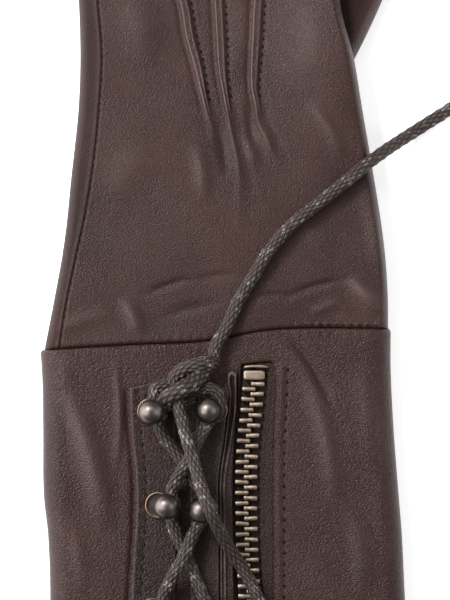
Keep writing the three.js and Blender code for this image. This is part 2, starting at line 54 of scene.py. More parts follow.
scene = bpy.context.scene
lens = bpy.data.cameras.new("camera")
lens.sensor_fit = "VERTICAL"
lens.sensor_height = SENSOR_HEIGHT
lens.lens = SENSOR_HEIGHT * CAMERA_DISTANCE / PICTURE_HEIGHT
lens.clip_start = NEAREST
camera = bpy.data.objects.new("camera", lens)
camera.location = (np.array([0, PICTURE_MIDDLE, PICTURE_LEVEL + CAMERA_DISTANCE]) + ORIGIN) / 1000
scene.collection.objects.link(camera)
scene.camera = camera

# Light: two broad soft boxes left and right, a stronger one from the upper left, and a pale room.
# The floor is a white sweep that the light takes to pure white.
scene.view_settings.view_transform = "Standard"
SOFT_BOXES = (  # name, place, size, power
    ("light_left", (-0.80, 0.10, 0.55), (1.1, 1.3), 18.0),
    ("light_right", (0.70, 0.02, 0.45), (0.6, 1.0), 2.6),
    ("light_key", (-0.52, 0.62, 0.90), (0.22, 0.22), 8.5),
    ("light_top", (0.05, 0.9, 1.4), (1.0, 0.6), 4.0),
)
for name, place, size, power in SOFT_BOXES:
    light = bpy.data.lights.new(name, "AREA")
    light.shape = "RECTANGLE"
    light.size, light.size_y = size
    light.energy = power
    lamp = bpy.data.objects.new(name, light)
    lamp.location = place
    lamp.rotation_euler = (-lamp.location).to_track_quat("-Z", "Y").to_euler()
    scene.collection.objects.link(lamp)
ROOM_COLOUR, ROOM_STRENGTH = (0.95, 0.97, 1.0, 1), 0.14
world = bpy.data.worlds.new("room")
world.use_nodes = True
world.node_tree.nodes["Background"].inputs["Color"].default_value = ROOM_COLOUR
world.node_tree.nodes["Background"].inputs["Strength"].default_value = ROOM_STRENGTH
scene.world = world


def finish_of(name, **values):
    """A material named for a finish, with the plain values of its shader."""
    made = bpy.data.materials.new(name)
    made.use_nodes = True
    for key, value in values.items():
        made.node_tree.nodes["Principled BSDF"].inputs[key.replace("_", " ")].default_value = value
    return made


def feed(made, socket, source):
    """Joins an output to a socket of the finish's shader."""
    made.node_tree.links.new(source, made.node_tree.nodes["Principled BSDF"].inputs[socket])


def node(made, kind, inputs=None, **settings):
    """A node of that kind in a finish. Settings are its properties, and inputs are its values or the
    sockets that feed it."""
    new = made.node_tree.nodes.new(kind)
    for key, value in settings.items():
        setattr(new, key, value)
    for key, value in (inputs or {}).items():
        if isinstance(value, bpy.types.NodeSocket):
            made.node_tree.links.new(value, new.inputs[key])
        else:
            new.inputs[key].default_value = value
    return new


def object_place(made):
    """The place on the object, in metres, that patterns are laid out on."""
    return node(made, "ShaderNodeTexCoord").outputs["Object"]


def noise(made, place, scale, detail=2.0, rough=0.5):
    """A cloud pattern of values about a half, with scale as its patches to the metre."""
    inputs = {"Vector": place, "Scale": scale, "Detail": detail, "Roughness": rough}
    return node(made, "ShaderNodeTexNoise", inputs).outputs["Fac"]


def blend_colours(made, factor, first, second):
    """A colour between first and second, by factor."""
    return node(made, "ShaderNodeMix", {0: factor, 6: first, 7: second}, data_type="RGBA").outputs[2]


def clouded_finish(name, scale, first, second, **values):
    """A finish that drifts between two colours with a cloud pattern, and that pattern."""
    made = finish_of(name, **values)
    cloud = noise(made, object_place(made), scale)
    feed(made, "Base Color", blend_colours(made, cloud, first, second))
    return made, cloud


FLOOR_HALF = 1.5
white_sweep, _ = clouded_finish("white_sweep", 3.0, (0.93, 0.935, 0.94, 1), (0.96, 0.96, 0.96, 1),
                                Roughness=0.85, Emission_Color=(1, 1, 1, 1), Emission_Strength=0.6)
floor_mesh = bpy.data.meshes.new("floor")
floor_mesh.from_pydata(
    [(-FLOOR_HALF, -FLOOR_HALF, 0), (FLOOR_HALF, -FLOOR_HALF, 0), (FLOOR_HALF, FLOOR_HALF, 0),
     (-FLOOR_HALF, FLOOR_HALF, 0)], [], [(0, 1, 2, 3)])
floor_mesh.materials.append(white_sweep)
floor = bpy.data.objects.new("floor", floor_mesh)
scene.collection.objects.link(floor)

# The hand: back, palm and the strips between the fingers, of thin brown kid leather, sewn inside out
# and turned. Each point of its outline is where the laid leather ends in the photograph.
HAND_SIDES = (  # place along the glove, left edge, right edge, height
    (0, -49, 44.3, 11.2), (10, -46.8, 44.2, 11.6), (25, -43.8, 43.2, 12), (45, -41.6, 40.2, 12.2),
    (62, -39.8, 37.2, 12.2), (76, -39.3, 34.8, 12.2), (91, -39.7, 31.2, 12), (105, -40.7, 31.9, 11.8),
    (121, -40.9, 32.5, 11.5), (135, -41, 32.6, 11.5))
SIDE_SEAM = (
    (0, -44.8), (10, -43), (32, -38), (48, -35.4), (62, -34), (76, -33.2), (91, -34.3), (121, -37))
TUCKS = (  # the three raised points on the back, down to the wrist and up to the finger forks
    ((0, -14), (28, -8), (45, -4.4), (56.7, -3.6), (59.7, -4.6), (66.2, -6.2), (73.7, -7.8), (81.5, -9.9),
     (91.3, -11.7), (112, -21.9)),
    ((0, -2), (28, 3), (45, 3.6), (57.2, 1.35), (64.5, 0), (71.6, -1.1), (80.6, -1.6), (91.3, -2.2),
     (120, -3.9)),
    ((0, 20), (28, 19), (48, 13.6), (54, 10.9), (58.2, 9), (62.9, 8.3), (67.2, 7.5), (71.6, 7.5), (80.6, 8),
     (91.3, 8.6), (121, 13.4)))
TUCK_ENDS = (49.0, 24.0, 41.0)
STITCHED_FROM, STITCHED_TO = 99.0, 63.5
TUCK_HEIGHT, TUCK_GROOVE, TUCK_SEAM = 0.75, 0.36, 0.75
FORKS = (106.0, 106.0, 112.0, 120.0, 121.0, 112.0)
FORK_WEB = 1.5
FINGERS = (  # tip, tip's place, half width at the root and at the tip
    (-36.6, 166.0, 9.4, 8.4), (-15.7, 191.0, 8.8, 8.5), (5.2, 200.0, 8.6, 8.5), (26.2, 188.0, 9.5, 8.7))
WALL, MIDDLE_HEIGHT, CROWN = 1.3, 5.5, 0.6
EDGE_ROUND, TIP_ROUND, WRIST_ROUND = 2.3, 8.5, 1.2
FINGER_HALF, FINGER_ROUND = 8.8, 5.0
FOLD_DEPTH, PUCKER_PITCH = 1.5, 2.7
SEAM_FADE = 25.0
WRIST_SEAM = ((-50, -3.3), (-25, -1.8), (-5, -0.8), (12, 2.2), (45, 2.6))
HAND_FOLDS = (  # from, to, height of the fold (negative for a crease), half width, as in the photograph
    (5.6, 64.5, 7, 50, -0.4, 1.4), (4.4, 56.5, 8, 45.5, 0.4, 1.4), (-8.6, 53.5, -5.8, 36.5, 0.5, 1.9),
    (-3.2, 60, 0.4, 42.5, -0.45, 1.4), (9.2, 59.5, 12.4, 48.5, 0.38, 1.3), (22, 64, 32, 48.5, 0.6, 1.5),
    (-28, 12.4, -22.6, 0.6, 0.8, 1.7), (-23, 11.8, -7, 16.4, -0.38, 0.9), (-10, 15.8, 5, 16.4, -0.25, 1),
    (-20, 5.5, 1, 9.6, -0.3, 1.3), (33.2, 15.6, 41.6, 3.6, 1.15, 2.1), (4, 9.6, 20, 9.2, -0.32, 1),
    (15, 8.6, 34, 14.6, -0.42, 1), (-40.5, 60, -38.2, 84, 0.3, 1.6), (17, 30, 30, 22, 0.3, 2.6),
    (-32, 36, -20, 52, 0.3, 4.5), (36.4, 42, 41.6, 18, 0.35, 2.2), (20, 92, 24, 70, 0.4, 4),
    (-26, 96, -22, 72, 0.4, 4.5), (2.8, 96, 3.2, 70, 0.25, 3), (-47, 4, -30, 7.5, 0.25, 1.6),
    (22, 3.2, 33, 8.4, 0.3, 1.5))


def along(table, at):
    """Columns of a table at places on its first column, joined by cubics whose slopes are the mean
    of the chords on both sides."""
    table = np.array(table, float)
    place, value = table[:, 0], table[:, 1:]
    chord = np.diff(value, axis=0) / np.diff(place)[:, None]
    slope = np.vstack([chord[:1], (chord[1:] + chord[:-1]) / 2, chord[-1:]])
    at = np.clip(at, place[0], place[-1])
    k = np.clip(np.searchsorted(place, at, side="right") - 1, 0, len(place) - 2)
    span = (place[k + 1] - place[k])[..., None]
    u = (at - place[k])[..., None] / span
    found = (value[k] * (1 + 2 * u) * (1 - u) ** 2 + slope[k] * span * u * (1 - u) ** 2
             + value[k + 1] * u * u * (3 - 2 * u) + slope[k + 1] * span * u * u * (u - 1))
    return found[..., 0] if value.shape[1] == 1 else found


def ease(value, start, end):
    """0 before start and 1 after end, with a smooth rise 3t2 - 2t3 between."""
    t = np.clip((value - start) / (end - start), 0, 1)
    return t * t * (3 - 2 * t)


def rounding(distance, radius):
    """Height, 0 to 1, of a round edge of that radius at a distance inside it: a quarter circle, then flat."""
    t = np.clip(distance / radius, 0, 1)
    return np.sqrt(1 - (1 - t) ** 2)


def hump(distance, half_width):
    """A bell, exp(-(d / half width)2)."""
    return np.exp(-((distance / half_width) ** 2))


def folds(x, y, table):
    """The sum of soft folds: each a bell across its line, which rises and fades along the line."""
    total = np.zeros_like(x)
    for x0, y0, x1, y1, height, width in table:
        length = math.hypot(x1 - x0, y1 - y0)
        ux, uy = (x1 - x0) / length, (y1 - y0) / length
        t = ((x - x0) * ux + (y - y0) * uy) / length
        off = (x - x0) * uy - (y - y0) * ux
        bow = off + 0.05 * length * (1 - (2 * t - 1) ** 2)
        total += height * hump(bow, width) * np.clip(1 - (2 * t - 1) ** 2, 0, 1) ** 1.5
    return total


def waves(x, y):
    """Slack in laid leather: three slow sine waves that cross at odd angles."""
    return (0.16 * np.sin(0.11 * x + 0.07 * y + 0.5) + 0.12 * np.sin(0.19 * y - 0.09 * x + 1.7)
            + 0.07 * np.sin(0.31 * x + 0.23 * y + 2.9))


def wrist_sweep(x, y):
    """How far the seam's own curve carries a point near the wrist along the glove."""
    return np.clip(1 - np.abs(y) / SEAM_FADE, 0, 1) * along(WRIST_SEAM, x)


def thumb_lift(x, y):
    """How far the thumb below lifts the hand at its thumb side."""
    return 4.6 * ease(x, 8, 33) * ease(y, 42, 78) * (1 - ease(y, 112, 165))


def tuck_width(y):
    """Half the width of a raised point's flat top, which narrows towards the wrist."""
    return 0.42 + 0.38 * ease(y, 60, 80)


def tuck_relief(x, y):
    """The raised points: a flat-topped pinch 1 / (1 + |q / w|^8) with two crisp edges and a sewn groove
    on its right, which goes over into a soft ridge that fades at its end."""
    relief, wear_and_light = np.zeros_like(x), np.zeros_like(x)
    width = tuck_width(y)
    above = 1 - ease(y, STITCHED_FROM, 110)
    keep = ease(y, STITCHED_TO - 5, STITCHED_TO + 1) * above
    sewn = ease(y, STITCHED_TO - 1.5, STITCHED_TO + 3) * above
    for line, end in zip(TUCKS, TUCK_ENDS):
        q = x - along(line, y)
        middle = q - 0.35
        top = 1 / (1 + np.abs(middle / (width + 0.25)) ** 8)
        edges = hump(middle + width, 0.2) + hump(middle - width, 0.2)
        relief += keep * (TUCK_HEIGHT * top + 0.14 * edges)
        relief -= sewn * TUCK_GROOVE * hump(q - TUCK_SEAM - 2 * width, 0.5)
        relief -= 0.2 * keep * hump(q + width + 0.9, 0.6)
        # Pale lines along both crisp edges, and below along the soft ridge: painted highlight.
        wear_and_light += keep * 0.9 * edges
        soft = ease(y, end, STITCHED_TO) * (1 - ease(y, STITCHED_TO, STITCHED_TO + 8))
        wide = 0.45 + 1.1 * (1 - ease(y, end, STITCHED_TO))
        relief += soft * (0.5 * hump(q, wide) - 0.25 * hump(q - 2.0 - wide, 1.3))
        wear_and_light += soft * 0.4 * hump(q, 0.3)
    return relief, wear_and_light


def hand_relief(x, y):
    """Everything that stands out of the back of the hand, and its mark: painted highlight beside the side
    seam and on the fold crests, and painted shade on the strip left of the side seam.
    """
    relief, wear_and_light = tuck_relief(x, y)
    seam = x - along(SIDE_SEAM, y)
    near = 1 - ease(y, 101, 112)
    rims = 0.16 * hump(seam + 0.75, 0.5) + 0.03 * hump(seam - 0.8, 0.5)
    relief = relief - near * (0.5 * hump(seam, 0.28) - rims)
    # A pale line beside the side seam is painted highlight; the strip left of the seam gets painted shade.
    wear_and_light = wear_and_light + near * (0.25 * hump(seam + 0.6, 0.3) - 0.5 * ease(-seam, 0.6, 1.4))
    laid = folds(x, y, HAND_FOLDS)
    soft = (FOLD_DEPTH * laid + waves(x, y)) * ease(y, 0.3, 5)
    puckers = 0.17 * np.sin(2 * math.pi * x / PUCKER_PITCH) * hump(y - 0.8, 0.8)
    puckers = puckers * (0.35 + 0.65 * ease(x, 15, 25))
    # Fold crests paler: painted highlight.
    return relief + soft + puckers, wear_and_light + np.clip(laid, 0, 1) * 0.35


def hand_section(x, y):
    """At a place on the hand below the finger forks: the edges there, how far inside them it is, and
    the back's height over the middle level, with a parabola's crown."""
    left, right, height = np.moveaxis(along(HAND_SIDES, y), -1, 0)
    crown = CROWN * (1 - (2 * (x - left) / (right - left) - 1) ** 2)
    return left, right, np.minimum(x - left, right - x), height - CROWN - MIDDLE_HEIGHT + crown


def hand_top(x, y):
    """Height of the back of the hand below the finger forks at a place, without the wrist's sweep."""
    _, _, inside, thick = hand_section(x, y)
    level = MIDDLE_HEIGHT + (thick - 1 + rounding(y, WRIST_ROUND)) * rounding(inside, EDGE_ROUND)
    return level + thumb_lift(x, y) + hand_relief(x, y)[0] * ease(inside, 0, 1.2)


def spread(count, ends=0.55):
    """Places from 0 to 1 that crowd at both ends: a mix of even steps and half a cosine."""
    t = np.linspace(0, 1, count)
    return (1 - ends) * t + ends * (1 - np.cos(np.pi * t)) / 2


def hand_sheets(columns, body_rows, finger_rows, inset, low):
    """The grids of one side of the hand, the back or where low is true the palm, and their marks of wear and
    painted light.

    The body's rows run from the wrist to the line through the finger forks, and between its six
    lines (edges, side seam, tucks) x and y are mixed evenly. Each finger carries its own columns
    on, about a straight middle line, and closes on an ellipse at its tip. The height is the middle
    height plus or minus an edge rounding times the thickness.
    """
    shown = not (low or inset)
    lines = ([row[:2] for row in HAND_SIDES], SIDE_SEAM, *TUCKS, [(row[0], row[2]) for row in HAND_SIDES])
    drop = FORK_WEB if inset else 0.0
    place = [body_rows * (fork - drop * (0 < k < 5)) for k, fork in enumerate(FORKS)]
    edge = [along(line, y) for line, y in zip(lines, place)]
    for k, shift in ((0, inset), (1, 0.3 if inset else 0.0), (5, -inset)):
        edge[k] = edge[k] + shift
    xs, ys = [], []
    for k, count in enumerate(columns):
        s = spread(count)[None, (1 if k else 0):]
        for mixed, ends in ((xs, edge), (ys, place)):
            mixed.append(ends[k][:, None] * (1 - s) + ends[k + 1][:, None] * s)
    x, y = np.hstack(xs), np.hstack(ys)
    ends = np.cumsum([0] + [count - 1 for count in columns])
    lobes = [slice(ends[first], ends[last] + 1) for first, last in ((0, 2), (2, 3), (3, 4), (4, 5))]
    from_fork = np.zeros(x.shape)
    for lobe in lobes:
        share = (x[:, lobe] - x[:, lobe][:, :1]) / (x[:, lobe][:, -1:] - x[:, lobe][:, :1])
        from_fork[:, lobe] = np.maximum(from_fork[:, lobe], (1 - np.abs(2 * share - 1)) * FINGER_HALF)
    left, right, inside, thick = hand_section(x, y)
    inside = inside - inset
    thick = (MIDDLE_HEIGHT + 0 * x if low else thick) - inset
    turning = ease(body_rows[:, None], 0.86, 1.0)
    swell = rounding(inside, EDGE_ROUND) * (1 - turning) + rounding(from_fork, FINGER_ROUND) * turning
    tall = (thick - (0 if inset else 1 - rounding(y, WRIST_ROUND))) * swell
    relief, wear_and_light = 0 * tall, 0 * tall
    if shown:
        relief, wear_and_light = hand_relief(x, y)
        beside_thumb = ease(y, 68, 78)
        # Paler line along the thumb side's edge, strongest beside the thumb: painted highlight.
        wear_and_light = wear_and_light + 0.6 * hump(right - x - 0.5, 0.3) * beside_thumb
        wear_and_light = wear_and_light + 0.1 * (1 - ease(right - x, 0.1, 1.2)) * (1 - beside_thumb)
        relief = relief * ease(inside, 0, 1.2) * (1 - turning * (1 - ease(from_fork, 0, 2)))
    z = MIDDLE_HEIGHT + (-tall if low else tall) + thumb_lift(x, y) + relief
    grids, marks = [np.stack([x, y + wrist_sweep(x, y), z], -1)], [wear_and_light]
    for lobe, (tip_x, tip_y, root_half, tip_half) in zip(lobes, FINGERS):
        base = np.stack([x[-1, lobe], y[-1, lobe]], -1)
        s = 2 * (base[:, 0] - base[0, 0]) / (base[-1, 0] - base[0, 0]) - 1
        start = (base[0] + base[-1]) / 2
        reach = np.array([tip_x, tip_y - inset]) - start
        length = np.hypot(*reach)
        ahead = reach / length
        side = np.array([ahead[1], -ahead[0]])
        straight = length - TIP_ROUND
        tip = TIP_ROUND * np.sin(np.linspace(0, math.pi / 2, finger_rows // 2 + 1)[1:])
        w = np.concatenate([spread(finger_rows, 0.2)[1:] * straight, straight + tip])
        close = np.sqrt(np.clip(1 - (np.clip(w - straight, 0, None) / TIP_ROUND) ** 2, 0, 1))
        half = (root_half + (tip_half - root_half) * w / length - inset * ease(w, 0, 4)) * close
        base_half = (base[-1, 0] - base[0, 0]) / 2
        leaving = 1 - ease(w, 0, 14)
        half = half + (base_half - half[0]) * leaving
        target = start + ahead * w[:, None, None] + side * (s * half[:, None])[..., None]
        target = target + (base - start - side * (s * base_half)[:, None]) * leaving[:, None, None]
        own = ease(w, 0, 20)[:, None]
        tall = thick[-1, lobe] * (1 - own) + (MIDDLE_HEIGHT - inset + (not low) * 0.5 * (1 - s ** 2)) * own
        slack = waves(target[..., 0], target[..., 1]) * ease(w, 0, 6)[:, None] if shown else 0
        tall = (tall + slack) * rounding((1 - np.abs(s)) * FINGER_HALF, FINGER_ROUND) * close[:, None]
        z = MIDDLE_HEIGHT + (-tall if low else tall) + thumb_lift(target[..., 0], target[..., 1])
        z = z + relief[-1, lobe] * (1 - ease(w, 0, 4))[:, None]
        grids.append(np.concatenate([grids[0][-1:, lobe], np.concatenate([target, z[..., None]], -1)]))
        marks.append(np.zeros(grids[-1].shape[:2]))
    return grids, marks


def quads(rows, columns, start):
    """Point numbers of the quads of a grid stored row by row."""
    at = start + np.arange(rows * columns).reshape(rows, columns)
    return np.stack([at[:-1, :-1], at[:-1, 1:], at[1:, 1:], at[1:, :-1]], -1).reshape(-1, 4)


MERGED_WITHIN = 0.004


def piece(name, grids, finish, hidden=(), marks=None, maps=None):
    """One object of several grids of points in millimetres, for the solids that it hides. Touching
    points are merged and faces turned outwards. Marks are the grids' wear and painted light and shade,
    and grids past the last mark have none; maps are their places along and round a cord."""
    points = np.concatenate([grid.reshape(-1, 3) for grid in grids])
    starts = np.cumsum([0] + [grid.shape[0] * grid.shape[1] for grid in grids])
    faces = np.concatenate([quads(*grid.shape[:2], start) for grid, start in zip(grids, starts)])
    mesh = bpy.data.meshes.new(name)
    mesh.vertices.add(len(points))
    mesh.vertices.foreach_set("co", ((points + ORIGIN) / 1000).ravel())
    mesh.loops.add(faces.size)
    mesh.loops.foreach_set("vertex_index", faces.ravel())
    mesh.polygons.add(len(faces))
    mesh.polygons.foreach_set("loop_start", np.arange(0, faces.size, 4))
    mesh.update(calc_edges=True)
    if marks is not None:
        wear = np.zeros(len(points))
        wear[:starts[len(marks)]] = np.concatenate([mark.ravel() for mark in marks])
        mesh.attributes.new("wear_and_light", "FLOAT", "POINT").data.foreach_set("value", wear)
    if maps is not None:
        flat = np.concatenate([grid.reshape(-1, 2) for grid in maps])
        mesh.uv_layers.new(name="along").data.foreach_set("uv", flat[faces.ravel()].ravel())
    work = bmesh.new()
    work.from_mesh(mesh)
    bmesh.ops.remove_doubles(work, verts=work.verts, dist=MERGED_WITHIN / 1000)
    bmesh.ops.recalc_face_normals(work, faces=work.faces)
    if work.calc_volume(signed=True) < 0:
        bmesh.ops.reverse_faces(work, faces=work.faces)
    work.to_mesh(mesh)
    work.free()
    mesh.polygons.foreach_set("use_smooth", np.ones(len(mesh.polygons), bool))
    mesh.materials.append(finish)
    made = bpy.data.objects.new(name, mesh)
    scene.collection.objects.link(made)
    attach(made, "root")
    if hidden:
        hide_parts(*hidden)
    return made


def sum_of(made, operation, *values):
    """The result of one sum on values or sockets."""
    return node(made, "ShaderNodeMath", dict(enumerate(values)), operation=operation).outputs[0]


def plus(made, first, second):
    """first + second."""
    return sum_of(made, "ADD", first, second)


def times(made, first, second):
    """first x second."""
    return sum_of(made, "MULTIPLY", first, second)


def remap(made, value, low, high, to_low=0.0, to_high=1.0):
    """A value carried in proportion from one range to another, and kept inside it."""
    return node(made, "ShaderNodeMapRange", {0: value, 1: low, 2: high, 3: to_low, 4: to_high}).outputs[0]


def scaled(made, vector, factor):
    """A place or colour times a factor for each of its parts."""
    return node(made, "ShaderNodeVectorMath", {0: vector, 1: factor}, operation="MULTIPLY").outputs[0]


def bumped(made, height, distance, strength=1.0):
    """A height pattern felt on the finish's surface, with its depth in metres."""
    inputs = {"Strength": strength, "Distance": distance, "Height": height}
    feed(made, "Normal", node(made, "ShaderNodeBump", inputs).outputs[0])


def shade(red, green, blue):
    """A screen colour, 0 to 255, as the shader's linear one."""
    value = np.array([red, green, blue]) / 255
    linear = np.where(value <= 0.04045, value / 12.92, ((value + 0.055) / 1.055) ** 2.4)
    return (*linear.tolist(), 1.0)


MOTTLES, CREASES, PORES = 55.0, 260.0, 4200.0
# The pale colour that the mark blends in: painted highlight on crests and edges, with some rubbed wear.
PALE_WEAR_AND_HIGHLIGHT = shade(136, 116, 111)


def leather_finish(name, deep, pale, rough, grain_depth=0.0003, grain_scale=3000.0):
    """Kid leather: mottled brown, paler where the mark is positive, painted highlight with some rubbed wear;
    dull and darker where it is negative, painted shade; with a fine pebble grain, pores and a soft sheen."""
    made = finish_of(name, Specular_IOR_Level=0.27)
    spot = object_place(made)
    mottle = noise(made, spot, MOTTLES, 5.0)
    wear_and_light = node(made, "ShaderNodeAttribute", attribute_name="wear_and_light").outputs["Fac"]
    cells = {"Vector": scaled(made, spot, (0.75, 1.15, 1.0)), "Scale": grain_scale}
    cells = node(made, "ShaderNodeTexVoronoi", cells, feature="SMOOTH_F1").outputs["Distance"]
    grain = sum_of(made, "SUBTRACT", 1.0, cells)
    base = blend_colours(made, remap(made, mottle, 0.35, 0.68), deep, pale)
    # Paler where the mark is positive: painted highlight with some rubbed wear.
    base = blend_colours(made, times(made, wear_and_light, 0.5), base, PALE_WEAR_AND_HIGHLIGHT)
    # Where the mark is negative the colour is darkened: painted shade.
    outside_painted_shade = remap(made, wear_and_light, -1.0, 0.0)
    pits = remap(made, grain, 0.3, 0.75, 0.72, 1.06)
    dim = times(made, pits, plus(made, 0.55, times(made, outside_painted_shade, 0.45)))
    feed(made, "Base Color", scaled(made, base, dim))
    gloss = plus(made, rough, times(made, mottle, 0.16))
    dull = times(made, sum_of(made, "SUBTRACT", 1.0, outside_painted_shade), 0.5)
    feed(made, "Roughness", plus(made, gloss, dull))
    height = plus(made, grain, times(made, noise(made, spot, PORES, 3.0), 0.15))
    height = plus(made, height, times(made, noise(made, spot, CREASES, 4.0, 0.6), 0.06))
    bumped(made, height, grain_depth)
    return made


BROWN = shade(50, 32, 29)
brown_leather = leather_finish("brown_leather", BROWN, shade(63, 41, 37), 0.31, 0.0002, 3400.0)

BACK_COLUMNS, PALM_COLUMNS = (24, 56, 44, 44, 60), (9, 13, 11, 11, 15)
FINGER_ROWS, INNER_FINGER_ROWS = 36, 9
body_rows = np.concatenate([np.linspace(0, 0.03, 9)[:-1], np.linspace(0.03, 1, 195)])
inner_rows = np.linspace(0, 1, 30)
back, back_wear_and_light = hand_sheets(BACK_COLUMNS, body_rows, FINGER_ROWS, 0.0, False)
palm, _ = hand_sheets(PALM_COLUMNS, body_rows, FINGER_ROWS, 0.0, True)
back_lining, _ = hand_sheets(BACK_COLUMNS, inner_rows, INNER_FINGER_ROWS, WALL, False)
palm_lining, _ = hand_sheets(PALM_COLUMNS, inner_rows, INNER_FINGER_ROWS, WALL, True)


def cover(upper, lower):
    """The end of a hollow form: a strip from one sheet's first row to the other's."""
    return np.stack([upper[0], lower[0]])


rims = [cover(back[0], back_lining[0]), cover(palm[0], palm_lining[0])]
piece("hand", back + palm + back_lining + palm_lining + rims, brown_leather,
      ["back_panel", "palm_panel", "fourchette_1", "fourchette_2", "fourchette_3"], back_wear_and_light)

# The thumb, a leather stall of its own below the thumb side of the palm. It lies flat on the floor,
# and the palm rests on it, so its upper side stops just under the palm.
THUMB_STATIONS = ((0, 11.5), (26, 12.2), (44, 11.4), (58, 10.2), (66, 8.4), (69, 6.2))
THUMB_REACH, THUMB_TURN, THUMB_HEIGHT, THUMB_LEAN = 70.0, 60.0, 8.6, math.radians(27)
THUMB_BASE = (14.6, 62.2)
THUMB_COLUMNS, THUMB_CROWD = 44, 0.6
PALM_GAP, LEAST_THUMB = 0.3, 0.4


def thumb_sheet(inset, low, rows):
    """One side of the thumb: a leaning strip whose half width comes from the stations and ends on an
    ellipse, and whose height is an edge rounding times half its thickness, kept under the palm."""
    reach = THUMB_REACH - inset
    w = reach * np.sin(np.linspace(0, math.pi / 2, rows))[:, None]
    s = spread(THUMB_COLUMNS, THUMB_CROWD) * 2 - 1
    close = np.sqrt(np.clip(1 - (np.clip(w - THUMB_TURN, 0, None) / (reach - THUMB_TURN)) ** 2, 0, 1))
    half = (along(THUMB_STATIONS, np.minimum(w, THUMB_TURN)) - inset) * close
    x = THUMB_BASE[0] + w * math.sin(THUMB_LEAN) + s * half * math.cos(THUMB_LEAN)
    y = THUMB_BASE[1] + w * math.cos(THUMB_LEAN) - s * half * math.sin(THUMB_LEAN)
    swell = rounding((1 - np.abs(s)) * 11, 5) * close * (rounding(w, 5) * 0.35 + 0.65)
    middle = THUMB_HEIGHT / 2
    rise = (middle - inset) * swell
    if low:
        return np.stack([x, y, middle - rise], -1)
    slack = 0 if inset else waves(2.1 * x, 1.6 * y) * 0.8 * swell
    top = middle + rise + slack
    inside = hand_section(x, y)[2]
    under = ease(inside, -0.5, 7) * (1 - ease(y, 118, 124))
    palm_above = MIDDLE_HEIGHT * (1 - rounding(inside, EDGE_ROUND)) + thumb_lift(x, y)
    ceiling = np.maximum(palm_above - PALM_GAP - inset, middle - rise + LEAST_THUMB)
    return np.stack([x, y, np.minimum(top, ceiling * under + top * (1 - under))], -1)


thumb_grids = [
    thumb_sheet(inset, low, rows) for inset, rows in ((0.0, 90), (WALL, 24)) for low in (False, True)]
thumb_grids += [cover(thumb_grids[0], thumb_grids[2]), cover(thumb_grids[1], thumb_grids[3])]
across = spread(THUMB_COLUMNS, THUMB_CROWD)
# Painted shade on the thumb's side under the hand's edge, and a painted highlight along its outer edge.
thumb_painted_light_and_shade = 0.5 * hump(across - 0.95, 0.05) - 0.9 * (1 - ease(across, 0.78, 0.93))
thumb_painted_light_and_shade = thumb_painted_light_and_shade + np.zeros(thumb_grids[0].shape[:2])
piece("thumb_stall", thumb_grids, brown_leather, ["thumb"], [thumb_painted_light_and_shade])

# The cuff: one wide leather tube sewn to the hand at the wrist seam, open at its end, and cut open
# on its back for the zip. Its edges at the seam and round the zip window are turned under.
CUFF_SIDES = (
    (-197, -56, 58), (-150, -52, 54.6), (-110, -49, 51.6), (-71, -47.5, 48.9), (-53, -48.1, 48),
    (-43, -49.2, 47.2), (-25, -49.4, 45.8), (-10, -49.6, 45), (0, -50.1, 45))
ZIP_WINDOW = (  # place, left edge, right edge, middle of the teeth
    (-197, 0.8, 13, 6.5), (-70, 0.8, 13, 6.5), (-54.5, 0.6, 13, 5.9), (-38, 0.6, 13, 5.7),
    (-27, 2.2, 13.1, 6.2), (-19.2, 3.2, 13.5, 7.1), (-7, 3.4, 14, 8.1))
LEFT_STRIP = (  # the left lacing strip's two edges, which press into the cuff
    (-197, -25.4, -13.4), (-70, -25.4, -13.4), (-48, -24.1, -13), (-38, -24.1, -13),
    (-24.6, -25.4, -13.4), (-11.6, -25.9, -13.6))
CUFF_TOP, SIDE_ROUND, CUFF_ROLL = 11.0, 5.5, 0.9
WINDOW_TOP, WINDOW_CORNER, ZIP_SEAM = -8.0, -10.2, 3.0
LIP_DEPTH, LIP_ROUND = 0.5, 1.5
CUFF_FOLDS = (  # as for the hand
    (-46, -8, -32.5, -54, 1.3, 3), (-30.2, -3, -29.8, -37, 0.75, 1), (15.4, 0, 30, -21, -0.8, 1.1),
    (20.5, -8, 29.5, -46, 0.85, 2.2), (33.8, -9, 43.4, -38, 0.3, 3), (-45.6, -2, -43.6, -14, 0.4, 2),
    (36.5, -6, 40.5, -34, 0.3, 2.6), (-43.2, -48, -38.5, -70, 0.35, 2.2),
    (33.5, -44, 36.5, -72, 0.4, 2.4), (-38, -70, -33, -110, 0.6, 3.4), (26, -80, 36, -120, 0.6, 3.4),
    (-44, -112, -34, -160, 0.7, 4), (40, -120, 30, -170, 0.7, 4))


def cuff_relief(x, y):
    """Soft folds of the cuff's top, none of them under the lacing strips, and the sewn lines."""
    under = ease(x, -29.5, -26.5) * (1 - ease(x, 1.5, 3.5)) * (1 - ease(y, -12, -7))
    soft = FOLD_DEPTH * folds(x, y, CUFF_FOLDS) + waves(x + 40, y) * 0.8
    line = x - along(ZIP_WINDOW, y)[..., 1] - ZIP_SEAM
    sewn = 0.14 * hump(line, 0.5) - 0.3 * hump(line + 1.5, 0.9)
    sewn = sewn * (1 - ease(y, WINDOW_TOP - 3, WINDOW_TOP))
    sewn = sewn + 0.7 * hump(x - along(LEFT_STRIP, y)[..., 0] + 0.6, 0.6) * (1 - ease(y, -15, -12))
    pucker = 0.06 * np.sin(2 * math.pi * x / PUCKER_PITCH) * hump(y + 1.6, 1.2)
    return (soft * ease(-y, 0.3, 4) * (1 - under) + pucker) - sewn


def cuff_turn(y):
    """How far the cuff turns down at the wrist seam."""
    return CUFF_ROLL * (1 - rounding(-y, WRIST_ROUND))


def cuff_top(x, y):
    """Height of the cuff's upper side."""
    return CUFF_TOP - cuff_turn(y) + cuff_relief(x, y)


